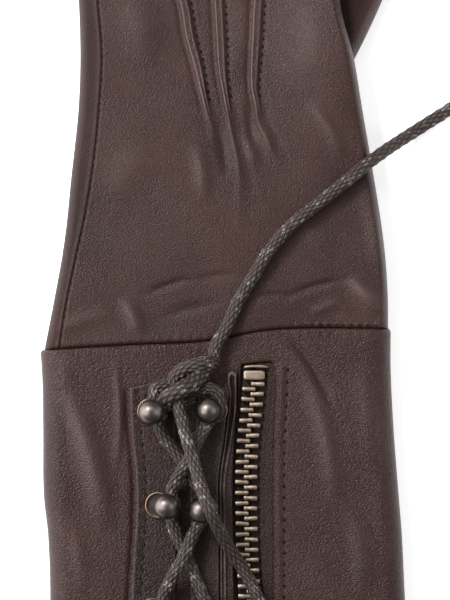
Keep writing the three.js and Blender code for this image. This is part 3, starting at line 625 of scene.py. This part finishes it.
def cuff_sheet(y, counts):
    """The cuff's section from the window's left edge, round the left side, the bottom and the right
    side to the window's right edge: straight lines and half circles, carried along the glove."""
    left, right = np.moveaxis(along(CUFF_SIDES, y)[:, None], -1, 0)
    open_left, open_right, _ = np.moveaxis(along(ZIP_WINDOW, y)[:, None], -1, 0)
    y = y[:, None]
    roll = cuff_turn(y)
    radius = SIDE_ROUND - roll
    near = np.linspace(0, 1, counts[0]) ** 1.25
    turn = np.linspace(0, math.pi, counts[1])[1:]
    flat = np.linspace(0, 1, counts[2])[1:]
    far = 1 - np.linspace(1, 0, counts[3])[1:] ** 1.35
    on_left, on_right = left + SIDE_ROUND, right - SIDE_ROUND
    x = np.hstack([
        open_left + (on_left - open_left) * near, on_left - radius * np.sin(turn),
        on_left + (right - left - 2 * SIDE_ROUND) * flat, on_right + radius * np.sin(turn),
        on_right + (open_right - on_right) * far])
    whole = y + 0 * x
    inner = ease(np.minimum(x - left, right - x), SIDE_ROUND - 1.5, SIDE_ROUND + 3)
    level = (CUFF_TOP - roll) * (1 - inner) + cuff_top(x, whole) * inner
    z = np.hstack([level[:, :counts[0]], SIDE_ROUND + radius * np.cos(turn), roll + 0 * flat,
                   SIDE_ROUND - radius * np.cos(turn), level[:, 1 - counts[3]:]])
    past = np.minimum(np.abs(x - open_left), np.abs(x - open_right))
    lip = LIP_DEPTH * (1 - rounding(past, LIP_ROUND)) * ease(-y, -WINDOW_CORNER, 1.5 - WINDOW_CORNER)
    return np.stack([x, whole + wrist_sweep(x, whole), z - lip * (z > SIDE_ROUND)], -1)


CUFF_COUNTS, BRIDGE_COLUMNS = (92, 18, 34, 64), 26
CUFF_START, PAST_SEAM, PAST_PICTURE = -0.02, -2.2, -72.0
bridge_rows = np.concatenate([
    np.linspace(CUFF_START, PAST_SEAM, 9)[:-1], np.linspace(PAST_SEAM, WINDOW_CORNER, 15)])
cuff_rows = np.concatenate([
    bridge_rows, np.linspace(WINDOW_CORNER, PAST_PICTURE, 100)[1:],
    np.linspace(PAST_PICTURE, CUFF_END, 54)[1:]])
tube = cuff_sheet(cuff_rows, CUFF_COUNTS)
open_left, open_right = np.moveaxis(along(ZIP_WINDOW, bridge_rows), -1, 0)[:2]
s = spread(BRIDGE_COLUMNS, 0.5)[None, :]
bridge_x = open_left[:, None] * (1 - s) + open_right[:, None] * s
from_left, from_right = bridge_x[-1] - open_left[-1], open_right[-1] - bridge_x[-1]
lowest = WINDOW_CORNER + (WINDOW_TOP - WINDOW_CORNER) * rounding(from_left, 1.2) * rounding(from_right, 2.0)
depth = (bridge_rows - CUFF_START) / (WINDOW_CORNER - CUFF_START)
bridge_y = CUFF_START + depth[:, None] * (lowest - CUFF_START)
lip = LIP_DEPTH * (1 - rounding(bridge_y - lowest, LIP_ROUND))
lip = lip * ease(np.minimum(from_left, from_right), 0, 1)
bridge_z = cuff_top(bridge_x, bridge_y) - lip
bridge = np.stack([bridge_x, bridge_y + wrist_sweep(bridge_x, bridge_y), bridge_z], -1)
tube[:len(bridge_rows), 0] = bridge[:, 0]
tube[:len(bridge_rows), -1] = bridge[:, -1]
# Paler on the fold crests, as painted highlight, and paler along the cuff's outer right side.
cuff_wear_and_light = [
    np.clip(folds(g[..., 0], g[..., 1], CUFF_FOLDS), 0, 1) * 0.3 * (g[..., 2] > 9) for g in (tube, bridge)]
cuff_wear_and_light[0] += 0.45 * (1 - ease(tube[..., 0].max(1)[:, None] - tube[..., 0], 0, 1.1))
cuff_leather = leather_finish("cuff_leather", BROWN, shade(62, 40, 37), 0.31, 0.00032, 2800.0)
cuff = piece("cuff_tube", [tube, bridge], cuff_leather, ["cuff"], cuff_wear_and_light)
wall = cuff.modifiers.new("wall", "SOLIDIFY")
wall.thickness = WALL / 1000
wall.offset = -1

# The lacing strips: two flat leather strips sewn along the cuff's back, that carry the studs.
# The left one's top is cut on a slant. Each is a folded strip with soft round edges.
STRIP_TOP, STRIP_UNDER, STRIP_EDGE, STRIP_LENGTH, STRIP_SEAM = 12.3, 11.3, 0.45, 185.0, 2.7
STRIP_PUCKERS = 3.4
LEFT_STRIP_TOP = (
    (-26, -13.2), (-22.7, -12.6), (-19.4, -11.7), (-17.3, -10.9), (-14.3, -10.6), (-13.4, -11.8))
RIGHT_STRIP = (
    (-197, -9.3, -1.6), (-54.5, -9.3, -1.6), (-38, -9.3, -1.7), (-27, -8.2, -0.2), (-15.4, -7.2, 1.1))
RIGHT_STRIP_TOP = ((-7.2, -15.4), (1.1, -15.4))


def leather_strip(sides, top_line, count, rows, relief):
    """A flat closed strip: between its two sides, from its top line to the cuff's end, with a quarter
    round along every edge; relief is added to its upper face."""
    v = [np.linspace(0, 0.012, 7)[:-1], np.linspace(0.012, 0.997, rows), np.linspace(0.997, 1, 5)[1:]]
    v = np.concatenate(v)[:, None]
    u = spread(count, 0.7)
    start = top_line[0][1]
    y = start + v * (CUFF_END - start)
    left, right = np.moveaxis(along(sides, y), -1, 0)
    x = left * (1 - u) + right * u
    y = y + (along(top_line, x[0]) - start) * (1 - v) ** 6
    inside = np.minimum(x - left, right - x)
    ends = np.minimum(v, 1 - v) * STRIP_LENGTH + 0 * x
    swell = (STRIP_TOP - STRIP_UNDER) / 2 * rounding(inside, STRIP_EDGE) * rounding(ends, STRIP_EDGE)
    middle = (STRIP_TOP + STRIP_UNDER) / 2
    bumps = relief(x, y, left, right) * ease(inside, 0.1, 0.9) * ease(ends, 0.1, 0.9)
    # Paler line along every edge: rubbed edge and painted highlight.
    wear_and_light = 0.45 * (hump(inside - 0.3, 0.16) + hump(ends - 0.4, 0.3))
    return [np.stack([x, y, z], -1) for z in (middle + swell + bumps, middle - swell)], [wear_and_light]


def left_relief(x, y, left, right):
    """The sewn line inside the left edge, with small puckers, and the edge's own padded rim."""
    line = x - left - STRIP_SEAM
    pull = 0.2 * np.sin(2 * math.pi * y / STRIP_PUCKERS) * hump(line, 1.2)
    uneven = 0.10 * np.sin(0.24 * y + 0.3 * x) ** 3
    return 0.12 * hump(x - left - 0.8, 0.6) - 0.14 * hump(line, 0.4) + pull + uneven


def right_relief(x, y, left, right):
    """Slow waves where the lacing pulls."""
    return 0.12 * np.sin(0.24 * y + 0.9) + 0.10 * hump(right - x, 0.9)


strip_leather = leather_finish("strip_leather", shade(38, 25, 23), shade(50, 33, 30), 0.31)
STRIPS = (("left", LEFT_STRIP, LEFT_STRIP_TOP, 44, 230, left_relief),
          ("right", RIGHT_STRIP, RIGHT_STRIP_TOP, 26, 150, right_relief))
for name, sides, top_line, count, rows, relief in STRIPS:
    grids, wear_and_light = leather_strip(sides, top_line, count, rows, relief)
    piece("lacing_strip_" + name, grids, strip_leather, ["placket_" + name], wear_and_light)

# The folded leather edge beside the zip: a strip bent over on itself like a hairpin, so that two
# rounded ridges with a groove between them stand up from its round top end down to the cuff's end.
WELT_BASE, WELT_CREST, WELT_TOP = 11.3, 12.5, -8.7
WELT_WIDTH, WELT_LENGTH, WELT_LIFT, STRIP_ABOVE = 1.7, 188, 0.3, -15.4


def welt_sheets():
    """The folded edge's upper and lower sheet, and its mark: paler crests, painted highlight with some
    wear. Across, two crests stand with a deep groove between; further down they draw together and the
    leather falls away beside them. Over the last two millimetres at the top the groove closes and the
    crests join in an arch."""
    v = np.concatenate([np.linspace(0, 0.02, 16)[:-1], np.linspace(0.02, 0.998, 260), [0.999, 1]])[:, None]
    u = np.linspace(0, 1, 41)[None, :]
    y = WELT_TOP + v * (CUFF_END - WELT_TOP)
    right = np.minimum(along(ZIP_WINDOW, y[:, 0])[:, :1] - 0.1, 3.1) + 1.7 * ease(y, -20, -42)
    beside_strip = along(RIGHT_STRIP, np.minimum(y[:, 0], STRIP_ABOVE))[:, 1:] + 0.25
    left = np.where(y > STRIP_ABOVE, beside_strip - 0.6 * ease(y, STRIP_ABOVE, -11), beside_strip)
    left = np.minimum(left, right - WELT_WIDTH)
    x = left * (1 - u) + right * u
    y = y - 1.1 * (2 * u - 1) ** 2 * (1 - v) ** 20
    ends = np.minimum(v, 1 - v) * WELT_LENGTH
    lower = ease(-y, 13, 42)
    first, second = 0.12 - 0.02 * lower, 0.88 - 0.54 * lower
    swell = rounding(np.minimum(u, 1 - u) * 2.4, 0.3) * rounding(ends, 0.7)
    between = hump((u - (first + second) / 2) / (second - first), 0.3)
    groove = (1.1 - 0.45 * lower) * between * ease(ends, 0.9, 2.6)
    fall = lower * (0.3 + 0.4 * ease(u, second + 0.06, second + 0.24))
    top = WELT_BASE + WELT_LIFT + (WELT_CREST - WELT_BASE - WELT_LIFT - groove - fall) * swell
    crests = hump(u - first, 0.07) + hump(u - second, 0.07)
    # Paler on both crests and round the top: painted highlight with some wear.
    wear_and_light = crests * (0.75 + 0.25 * np.sin(0.9 * y)) + hump(ends - 0.7, 0.5)
    return [np.stack([x, y, z], -1) for z in (top, WELT_BASE + WELT_LIFT * (1 - swell))], [wear_and_light]


welt_grids, welt_wear_and_light = welt_sheets()
piece("folded_edge", welt_grids, strip_leather, ["zip_welt"], welt_wear_and_light)

# The zip's two tapes, dark and coated, with a grain like the leather's. They are sewn under the
# window's edges and slope up from the teeth to the leather.
TAPE_LOW, TAPE_HIGH, TAPE_START, TAPE_END = 8.6, 9.4, -6.2, -193.0
coated_tape = leather_finish("coated_tape", shade(40, 27, 22), shade(54, 38, 32), 0.44, 0.0004, 2600.0)


def tape_grids(side):
    """A flat closed strip from under the leather to just short of the teeth's middle line, with a bead
    along the teeth's feet. It slopes up to the underside of the leather it is sewn to."""
    y = np.linspace(TAPE_START, TAPE_END, 240)[:, None]
    window = along(ZIP_WINDOW, np.minimum(y[:, 0], -7))
    inner = window[:, 2][:, None] + 0.25 * side
    edge = window[:, 0 if side < 0 else 1][:, None]
    outer = edge + 4.0 * side
    u = spread(30, 0.3)[None, :]
    x = inner * (1 - u) + outer * u
    past_teeth, past_edge = (x - inner) * side, (x - edge) * side
    bead = 0.15 * hump(past_teeth - 3.9, 0.5)
    rise, tuck_in = (1.5, ease(past_edge, -0.5, 0.3)) if side < 0 else (0.75, ease(past_edge, 0.2, 1.0))
    at_top = 0.75 * ease(y, -9.0, -7.4) * (1 - ease(y, -7.1, -6.4)) * (1 - ease(past_edge, 0.2, 1))
    slope = np.maximum(rise * ease(past_teeth, 3.05, 3.5) * (1 - tuck_in), at_top)
    ends = np.minimum(TAPE_START - y, y - TAPE_END)
    swell = rounding(np.minimum(u, 1 - u) * 8, 0.3) * rounding(ends, 0.3)
    middle, half = (TAPE_LOW + TAPE_HIGH) / 2 + slope, (TAPE_HIGH - TAPE_LOW) / 2
    y = y + 0 * x
    return [np.stack([x, y, z], -1) for z in (middle + (half + bead) * swell, middle - half * swell)]


SIDES = (("left", -1), ("right", 1))
for name, side in SIDES:
    piece("woven_tape_" + name, tape_grids(side), coated_tape, ["zip_tape_" + name])

# The zip's teeth: brass with a dark antique finish, rubbed bright on top, clamped on the tapes'
# edges in turn from left and right so that their heads lie side by side past the middle line.
TOOTH_PITCH, TOOTH_LOW, TOOTH_HIGH, TOOTH_REACH, TOOTH_PAST = 2.8, 9.7, 11.9, 3.0, 0.65
FIRST_TOOTH, LAST_TOOTH = -12.4, -184.0


def metal_finish(name, dark, bright, rough, scale=900.0):
    """Aged metal: bright where rubbed, with painted shade where its mark is negative, and fine scratches."""
    made = finish_of(name, Metallic=1.0)
    patch = noise(made, object_place(made), scale, 4.0)
    wear_and_light = node(made, "ShaderNodeAttribute", attribute_name="wear_and_light").outputs["Fac"]
    mix = plus(made, wear_and_light, times(made, sum_of(made, "SUBTRACT", patch, 0.5), 0.8))
    base = blend_colours(made, node(made, "ShaderNodeClamp", {0: mix}).outputs[0], dark, bright)
    # A negative mark darkens the colour: painted shade.
    feed(made, "Base Color", scaled(made, base, remap(made, wear_and_light, -1.0, 0.0, 0.3, 1.0)))
    feed(made, "Roughness", plus(made, rough, times(made, patch, 0.18)))
    bumped(made, patch, 0.00005, 0.25)
    return made


antique_brass = metal_finish("antique_brass", shade(76, 63, 54), shade(170, 153, 134), 0.4)


def squared(wave, power):
    """A sine or cosine raised to a power with its sign kept, which makes a circle's corners fuller."""
    return np.sign(wave) * np.abs(wave) ** power


def tooth_shape():
    """One tooth along x from 0 (tape side) to 1 (head): a rounded-square ring whose width narrows at
    the neck and swells at the head, closed at both ends. Returns share, side, rise and brightness."""
    share = np.array([0, 0, 0.04, 0.1, 0.45, 0.62, 0.72, 0.9, 0.97, 1, 1])[:, None]
    width = np.array([0, 0.5, 0.6, 0.63, 0.63, 0.54, 0.57, 0.63, 0.58, 0.45, 0])[:, None]
    rise = np.array([0, 0.8, 0.95, 1, 1, 0.94, 0.9, 0.94, 0.88, 0.7, 0])[:, None]
    angle = np.linspace(0, 2 * math.pi, 13)
    rise = rise * squared(np.sin(angle), 0.32)
    return share + 0 * angle, width * squared(np.cos(angle), 0.32), rise, np.clip(rise, 0, 1)


def teeth_grid(side):
    """All teeth of one tape at once: the shape repeated at every pitch along the middle line."""
    places = np.arange(FIRST_TOOTH - (0 if side > 0 else TOOTH_PITCH / 2), LAST_TOOTH, -TOOTH_PITCH)
    middle, places = along(ZIP_WINDOW, places)[:, 2, None, None], places[:, None, None]
    share, across, rise, bright = tooth_shape()
    x = middle + side * (TOOTH_REACH - share * (TOOTH_REACH + TOOTH_PAST))
    y = places + across + 0.05 * np.sin(places * 7.3) * (x - middle)
    z = (TOOTH_LOW + TOOTH_HIGH) / 2 + (TOOTH_HIGH - TOOTH_LOW) / 2 * rise + 0 * x
    return list(np.stack([x, y, z], -1)), list(bright + 0 * x)


for name, side in SIDES:
    grids, marks = teeth_grid(side)
    piece("brass_teeth_" + name, grids, antique_brass, ["zip_teeth_" + name], marks)

# The zip's brass top stop, pressed over the last teeth, the thin staple above it, and the slider,
# which rests closed at the cuff's end: plain smooth pieces with rounded edges.


def rounded_block(low, high, soft, bend):
    """A block between two corners whose sections are rounded squares: the ring's sides and rise follow
    cosine and sine to a power, and both ends close over a quarter round."""
    low, high = np.array(low), np.array(high)
    angle = np.linspace(0, 2 * math.pi, 41)[None, :]
    t = np.linspace(-math.pi / 2, math.pi / 2, 24)[:, None]
    length, girth = squared(np.sin(t), soft), np.abs(np.cos(t)) ** soft
    rise = girth * squared(np.sin(angle), soft)
    middle, half = (low + high) / 2, (high - low) / 2
    x = middle[0] + half[0] * length + 0 * angle
    y = middle[1] + half[1] * girth * squared(np.cos(angle), soft) + bend * length ** 2
    return np.stack([x, y, middle[2] + half[2] * rise], -1), np.clip(rise, 0, 1)


STOP_BOXES = (  # name, solid, lowest and highest corner, roundness, bend
    ("top_stop", "zip_stop", (4.9, -11.4, 9.7), (10.8, -8.7, 11.9), 0.35, 0.0),
    ("staple", "zip_staple", (4.95, -8.0, 9.7), (11.75, -7.2, 11.9), 0.5, -0.3),
    ("plain_slider", "zip_slider", (2.2, -194.1, 9.7), (10.8, -185.1, 13.3), 0.42, 0.0))
for name, solid, low, high, soft, bend in STOP_BOXES:
    grid, bright = rounded_block(low, high, soft, bend)
    piece(name, [grid], antique_brass, [solid], [bright * 0.9])

# The studs: gunmetal balls on thin necks, riveted through the strips over flat washers with a
# bright rim. The lacing passes under the balls.
STUDS = {"left": [(-20.1, -19.8, 0.2), (-18.0, -45.1, 2.3), (-19.5, -73.7, 1.2)],
         "right": [(-2.9, -19.4, -1.5), (-5.4, -46.2, -1.1), (-5.4, -73.7, -1.1)]}
STUD_ROWS, STUD_PITCH, STUD_BASE = 7, 26.5, 12.6
WASHER_RADIUS, WASHER_THICK, WASHER_RIM = 3.6, 0.7, 0.25
NECK_RADIUS, BALL_RADIUS, BALL_RISE = 0.7, 3.5, 7.9
NECK_LEANS_OVER = {"left": 3.9, "right": 0.25}
for places in STUDS.values():
    x, y, lean = places[-1]
    places += [(x, y - STUD_PITCH * k, lean) for k in range(1, STUD_ROWS - 2)]
gunmetal = metal_finish("gunmetal", shade(114, 105, 102), shade(140, 116, 88), 0.3, 500.0)


def stud_grid(side, x, y, lean):
    """A turned profile of radius and height spun round the stud's line: washer with a rolled rim,
    neck, and ball. The left studs' necks lean all the way up, the right ones step aside at the foot.
    The right balls carry painted shade at both sides, where the lace shades them; the washer's face and the
    neck under each ball carry painted shade too."""
    t = np.linspace(0, math.pi / 2, 5)
    ball = np.linspace(math.asin(NECK_RADIUS / BALL_RADIUS) - math.pi / 2, math.pi / 2, 19)
    rolled = WASHER_RADIUS - WASHER_RIM * (1 - np.cos(t))
    radius = np.concatenate([
        [0, 3.2], rolled[::-1], rolled,
        [3.15, 2.95, 2.4, 1.3, NECK_RADIUS, NECK_RADIUS], BALL_RADIUS * np.cos(ball[:-1]), [0]])
    height = np.concatenate([
        [0, 0], WASHER_RIM * (1 - np.sin(t[::-1])), 0.5 + 0.2 * np.sin(t),
        [0.66, 0.5, 0.5, 0.52, 0.7, 3.6], BALL_RISE + BALL_RADIUS * np.sin(ball)])[:, None]
    # Bright brass rim; the washer's face and the neck under the ball are darkened, painted shade.
    rim_and_neck_shade = np.concatenate([np.zeros(7), np.ones(5), [0.5, -0.4, -0.7, -0.9, -0.9, -0.9], np.zeros(19)])
    angle = np.linspace(0, 2 * math.pi, 37)[None, :]
    aside = lean * np.clip((height - WASHER_THICK) / NECK_LEANS_OVER[side], 0, 1)
    px = x + aside + radius[:, None] * np.cos(angle)
    py = y + radius[:, None] * np.sin(angle)
    rim_and_painted_shade = rim_and_neck_shade[:, None] + 0 * angle
    # On the right balls both sides are darkened: painted shade of the lace.
    if side == "right":
        across = np.abs(px - x - lean) / np.sqrt(1.01 - np.clip((py - y) / BALL_RADIUS, -1, 1) ** 2)
        rim_and_painted_shade = np.where(height > 4, -ease(across, 1.6, 2.1), rim_and_painted_shade)
    return np.stack([px, py, STUD_BASE + height + 0 * angle], -1), rim_and_painted_shade


for side, places in STUDS.items():
    for row, (x, y, lean) in enumerate(places, 1):
        grid, rim_and_painted_shade = stud_grid(side, x, y, lean)
        solid = "stud_" + side + "_" + str(row)
        piece(solid + "_turned", [grid], gunmetal, [solid], [rim_and_painted_shade])

# The lace: one round cord braided of waxed dark grey cotton. Two runs cross from stud to stud down
# the cuff, pass the studs on the thumb side below the balls, and are knotted at the top.
LACE_RADIUS, LACE_AT_STUD, LOW_STRAND, HIGH_STRAND = 1.7, 15.25, 14.4, 18.6
STRANDS, BRAID_PITCH = 8, 3.2
FIBRES, GLINT_PATCHES = 3800.0, 420.0


def lace_finish(name):
    """Waxed braid: diamonds of the crossing strands from the cord's own map, with painted shade in the
    grooves, fine fibres along each strand and painted glints, near-white specks in patches."""
    made = finish_of(name, Specular_IOR_Level=0.4)
    flow = node(made, "ShaderNodeUVMap", uv_map="along").outputs[0]
    turn, reach, _ = node(made, "ShaderNodeSeparateXYZ", {0: flow}).outputs
    turn, reach = times(made, turn, math.pi * STRANDS), times(made, reach, math.pi / BRAID_PITCH)
    phases = plus(made, turn, reach), sum_of(made, "SUBTRACT", turn, reach)
    sines = [sum_of(made, "ABSOLUTE", sum_of(made, "SINE", phase)) for phase in phases]
    braid = sum_of(made, "POWER", times(made, *sines), 0.6)
    spot = object_place(made)
    fibre, patch = noise(made, spot, FIBRES, 3.0), noise(made, spot, GLINT_PATCHES)
    tone = times(made, braid, plus(made, fibre, 0.35))
    # Near black in the braid's grooves: painted shade.
    base = blend_colours(made, tone, shade(12, 9, 8), shade(76, 61, 54))
    # Near-white specks: painted glints.
    painted_glint = remap(made, times(made, fibre, patch), 0.33, 0.385)
    base = blend_colours(made, times(made, painted_glint, times(made, braid, 0.7)), base, shade(214, 202, 192))
    feed(made, "Base Color", base)
    feed(made, "Roughness", sum_of(made, "SUBTRACT", 0.52, times(made, painted_glint, 0.2)))
    bumped(made, plus(made, braid, times(made, fibre, 0.5)), 0.00026, 0.9)
    return made


waxed_cotton = lace_finish("waxed_cotton")


def even_path(places, step):
    """Points an even step apart on the smooth cubic through the places."""
    places = np.array(places, float)
    reach = np.concatenate([[0], np.cumsum(np.linalg.norm(np.diff(places, axis=0), axis=1) ** 0.75)])
    fine = along(np.column_stack([reach, places]), np.linspace(0, reach[-1], 24 * len(places)))
    length = np.concatenate([[0], np.cumsum(np.linalg.norm(np.diff(fine, axis=0), axis=1))])
    even = np.linspace(0, length[-1], max(8, int(length[-1] / step)))
    return np.column_stack([np.interp(even, length, fine[:, k]) for k in range(3)]), even


def unit(vector):
    """A vector, or each vector of an array, at length 1."""
    return vector / np.linalg.norm(vector, axis=-1, keepdims=True)


def rings(path, ahead, size, angle):
    """Rings square to a path: path + size (cos a side + sin a over), where side lies level."""
    side = unit(np.cross(ahead, (0, 0, 1.0)))
    over = np.cross(side, ahead)
    turned = np.cos(angle)[..., None] * side[:, None] + np.sin(angle)[..., None] * over[:, None]
    return path[:, None] + size[..., None] * turned


def braided_cord(places, radius=LACE_RADIUS, around=32, step=0.3):
    """A tube round the even path, and its map: each ring's radius is raised by the braid's diamonds
    |sin(4a + ks) sin(4a - ks)|, and the tube closes over the last millimetre at both ends."""
    path, reach = even_path(places, step)
    reach = reach[:, None]
    angle = np.linspace(0, 2 * math.pi, around + 1)[None, :]
    turn = math.pi * reach / BRAID_PITCH
    braid = np.abs(np.sin(STRANDS / 2 * angle + turn) * np.sin(STRANDS / 2 * angle - turn))
    end = np.minimum(reach, reach[-1] - reach)
    size = radius * (0.88 + 0.17 * braid ** 0.6) * rounding(end, 1.0)
    flow = np.stack([angle / (2 * math.pi) + 0 * size, reach + 0 * size], -1)
    return rings(path, unit(np.gradient(path, axis=0)), size, angle), flow


PAST_NECK = NECK_RADIUS + LACE_RADIUS + 0.55
NEAR_STUD = 3.8
LEAN_AT_LACE = {"left": 0.65, "right": 1.0}
PULL = {"left": (0.8, 0.8), "right": (2.2, 3.4)}


def past_stud(side, row):
    """Where the lace's middle passes a stud: clear of its neck on the thumb side."""
    x, y, lean = STUDS[side][row]
    return x + lean * LEAN_AT_LACE[side] + PAST_NECK, y


def lace_run(first_side, beginning):
    """Places of one run: past each row's stud of alternate sides, crossing the other run half way,
    over it or under it in turn."""
    places = list(beginning)
    sides = (first_side, "right" if first_side == "left" else "left")
    for row in range(STUD_ROWS):
        side, other = sides[row % 2], sides[(row + 1) % 2]
        x, y = past_stud(side, row)
        above, below = PULL[side]
        if row > 0:
            places.append((x - above, y + NEAR_STUD, LACE_AT_STUD))
        places += [(x, y, LACE_AT_STUD), (x - below, y - NEAR_STUD, LACE_AT_STUD)]
        if row < STUD_ROWS - 1:
            next_x, next_y = past_stud(other, row + 1)
            over = (first_side == "left") == (row % 2 == 1)
            places.append(((x - below + next_x - PULL[other][0]) / 2, (y + next_y) / 2,
                           HIGH_STRAND if over else LOW_STRAND))
    return places


RUN_STARTS = {
    "a": ("left", [(-13.2, -11.6, 14.9), (-16.4, -12.5, 15.1), (-19.0, -14.0, 15.2), (-18.7, -16.6, 15.2)]),
    "b": ("right", [(-8.2, -11.2, 14.7), (-8.3, -13.0, 14.9), (-6.9, -13.9, 15.2), (-4.9, -13.4, 15.6),
                    (-3.0, -14.0, 15.6), (-1.7, -15.8, 15.4)])}
for name, (side, beginning) in RUN_STARTS.items():
    grid, flow = braided_cord(lace_run(side, beginning))
    piece("braided_run_" + name, [grid], waxed_cotton, ["lace_run_" + name], maps=[flow])

# The knot that ties both runs at the top: the upper arc of one end and the thick turn of the other
# over it, with the ends leaving it upwards and downwards.
KNOT_TURNS = (
    [(-3.1, -6.9, 14.6), (-3.7, -6.7, 16.4), (-6.4, -6.9, 17.5), (-9.4, -7.4, 17.3), (-12, -8.9, 16.6),
     (-13.6, -11, 15.7), (-13.4, -13.2, 15.2)],
    [(-5.6, -8.4, 14.9), (-7, -10.2, 16.2), (-9, -12.3, 18.4), (-11.8, -13.8, 19.9), (-14.3, -15.2, 19.4),
     (-15.8, -16.9, 17.4), (-14.8, -18.9, 15.6)])
THICK_TURNS = (1.95, 2.35)
knot_cords = [braided_cord(turn, radius) for turn, radius in zip(KNOT_TURNS, THICK_TURNS)]
knot_grids, knot_maps = zip(*knot_cords)
piece("tied_knot", knot_grids, waxed_cotton, ["lace_knot"], maps=knot_maps)

# The lace's two free ends: one lies up over the back of the hand and off its thumb side onto the
# floor, the other lies down over the lacing and the zip. Each ends in a short dipped tip.
FREE_ENDS = {
    "up": [
        (-3.1, -6.6, 15.2), (-2.6, -2.2, 14.2), (0.2, 2.4, 13.8), (3.1, 9, 13.8), (7.8, 17, 14.2),
        (12.7, 24.6, 14.5), (19, 31.5, 14.7), (26.5, 37.3, 14.7), (33, 42.6, 15), (37.6, 46.4, 14.2),
        (42.4, 50, 11), (46.8, 53, 6.9), (51.4, 56, 3.4), (56.4, 59.2, 1.9), (61.8, 62.6, 1.8),
        (64.6, 64.4, 1.8)],
    "down": [
        (-12.9, -14.4, 17.6), (-12.4, -18.6, 18.8), (-11.2, -23.4, 20.4), (-10.1, -27.5, 21.4),
        (-8.4, -33.2, 22), (-6.9, -38, 23.6), (-5.2, -42.8, 25.4), (-3.7, -46.6, 25.4),
        (-1.9, -50.8, 22.4), (0.6, -55.4, 18.4), (3.8, -60.6, 14.8), (6.8, -65.8, 14), (9.2, -70.7, 14),
        (10.8, -74.4, 14)]}
TIP_LENGTH, TIP_GAP, TIP_RADIUS = 5.0, 0.3, 1.5
dipped, dip_cloud = clouded_finish("dipped_tip", 700.0, shade(34, 32, 32), shade(58, 55, 53),
                                   Roughness=0.35, Specular_IOR_Level=0.5)
bumped(dipped, dip_cloud, 0.0001, 0.3)
for name, places in FREE_ENDS.items():
    grid, flow = braided_cord(places)
    tail = piece("braided_end_" + name, [grid], waxed_cotton, ["lace_tail_" + name],
                 maps=[flow])
    line, reach = even_path(places, 2.0)
    t = np.linspace(0, 1, 18)[:, None]
    ahead = unit(line[-1] - line[-2]) + 0 * t
    ends = rounding(t * TIP_LENGTH, 0.3) * rounding((1 - t) * TIP_LENGTH, 1.1)
    angle = np.linspace(0, 2 * math.pi, 25)[None, :]
    tip_grid = rings(line[-1] + ahead * (TIP_GAP + TIP_LENGTH * t), ahead,
                     TIP_RADIUS * ends * (1 + 0.03 * np.sin(40 * t)), angle)
    tip = piece("dipped_tip_" + name, [tip_grid], dipped, ["lace_tip_" + name])

# The stitching: short brown threads sunk at their ends, along the raised points, the wrist seam,
# the side seam, the lacing strip and the zip window.
THREAD, FINE_THREAD = 0.26, 0.2
THREAD_RISE, THREAD_SINK, LAST_STITCH = 1.1, 0.75, -195


def stitches(x, y, surface, length, gap, thread=THREAD):
    """Threads one after another along a line of places: each is a tube that rises in the middle and
    dives at both ends, z = surface + thread (rise sin(pi t)^0.6 - sink)."""
    reach = np.concatenate([[0], np.cumsum(np.hypot(np.diff(x), np.diff(y)))])
    starts = np.arange(0, reach[-1] - length, length + gap)[:, None, None]
    t = np.linspace(0, 1, 7)[None, :, None]
    angle = np.linspace(0, 2 * math.pi, 9)[None, None, :]
    s = starts + t * length
    ahead = [np.interp(s + 0.1, reach, at) - np.interp(s - 0.1, reach, at) for at in (x, y)]
    ahead = unit(np.stack(ahead, -1))
    x, y = np.interp(s, reach, x), np.interp(s, reach, y)
    size = thread * np.sqrt(np.clip(np.sin(math.pi * (0.04 + 0.92 * t)), 0, 1)) * (t > 0) * (t < 1)
    px = x + size * np.cos(angle) * ahead[..., 1]
    py = y - size * np.cos(angle) * ahead[..., 0]
    arch = THREAD_RISE * np.sin(math.pi * t) ** 0.6 - THREAD_SINK
    pz = surface(x, y) + thread * arch + size * np.sin(angle)
    return list(np.stack([px, py + wrist_sweep(px, py), pz], -1))


brown_thread, _ = clouded_finish("brown_thread", 5000.0, shade(12, 8, 7), shade(30, 21, 19),
                                 Roughness=0.6, Specular_IOR_Level=0.15)
y = np.linspace(STITCHED_FROM, STITCHED_TO, 60)
hand_threads = []
for line in TUCKS:
    hand_threads += stitches(along(line, y) + TUCK_SEAM + 2 * tuck_width(y), y, hand_top, 1.3, 0.9)
y = np.linspace(3, 100, 120)
hand_threads += stitches(along(SIDE_SEAM, y) + 0.1, y, hand_top, 0.9, 1.2, FINE_THREAD)
x = np.linspace(21, 42.5, 40)
hand_threads += stitches(x, np.full_like(x, 0.95), hand_top, 1.3, 0.8, FINE_THREAD)
piece("hand_stitches", hand_threads, brown_thread)
y = np.linspace(-9.5, LAST_STITCH, 200)
cuff_threads = stitches(along(ZIP_WINDOW, y)[:, 1] + ZIP_SEAM, y, cuff_top, 1.2, 1.8, 0.3)
y = np.linspace(-14.5, LAST_STITCH, 200)
x = along(LEFT_STRIP, y)[:, 0] + STRIP_SEAM
cuff_threads += stitches(x, y, lambda px, py: STRIP_TOP - 0.12 + 0 * px, 1.4, 2.0)
t = np.linspace(0, 1, 12)
cuff_threads += stitches(7.4 * t - 22.4, 2 * t - 15, lambda px, py: STRIP_TOP + 0 * px, 2.0, 1.0)
piece("cuff_stitches", cuff_threads, brown_thread)
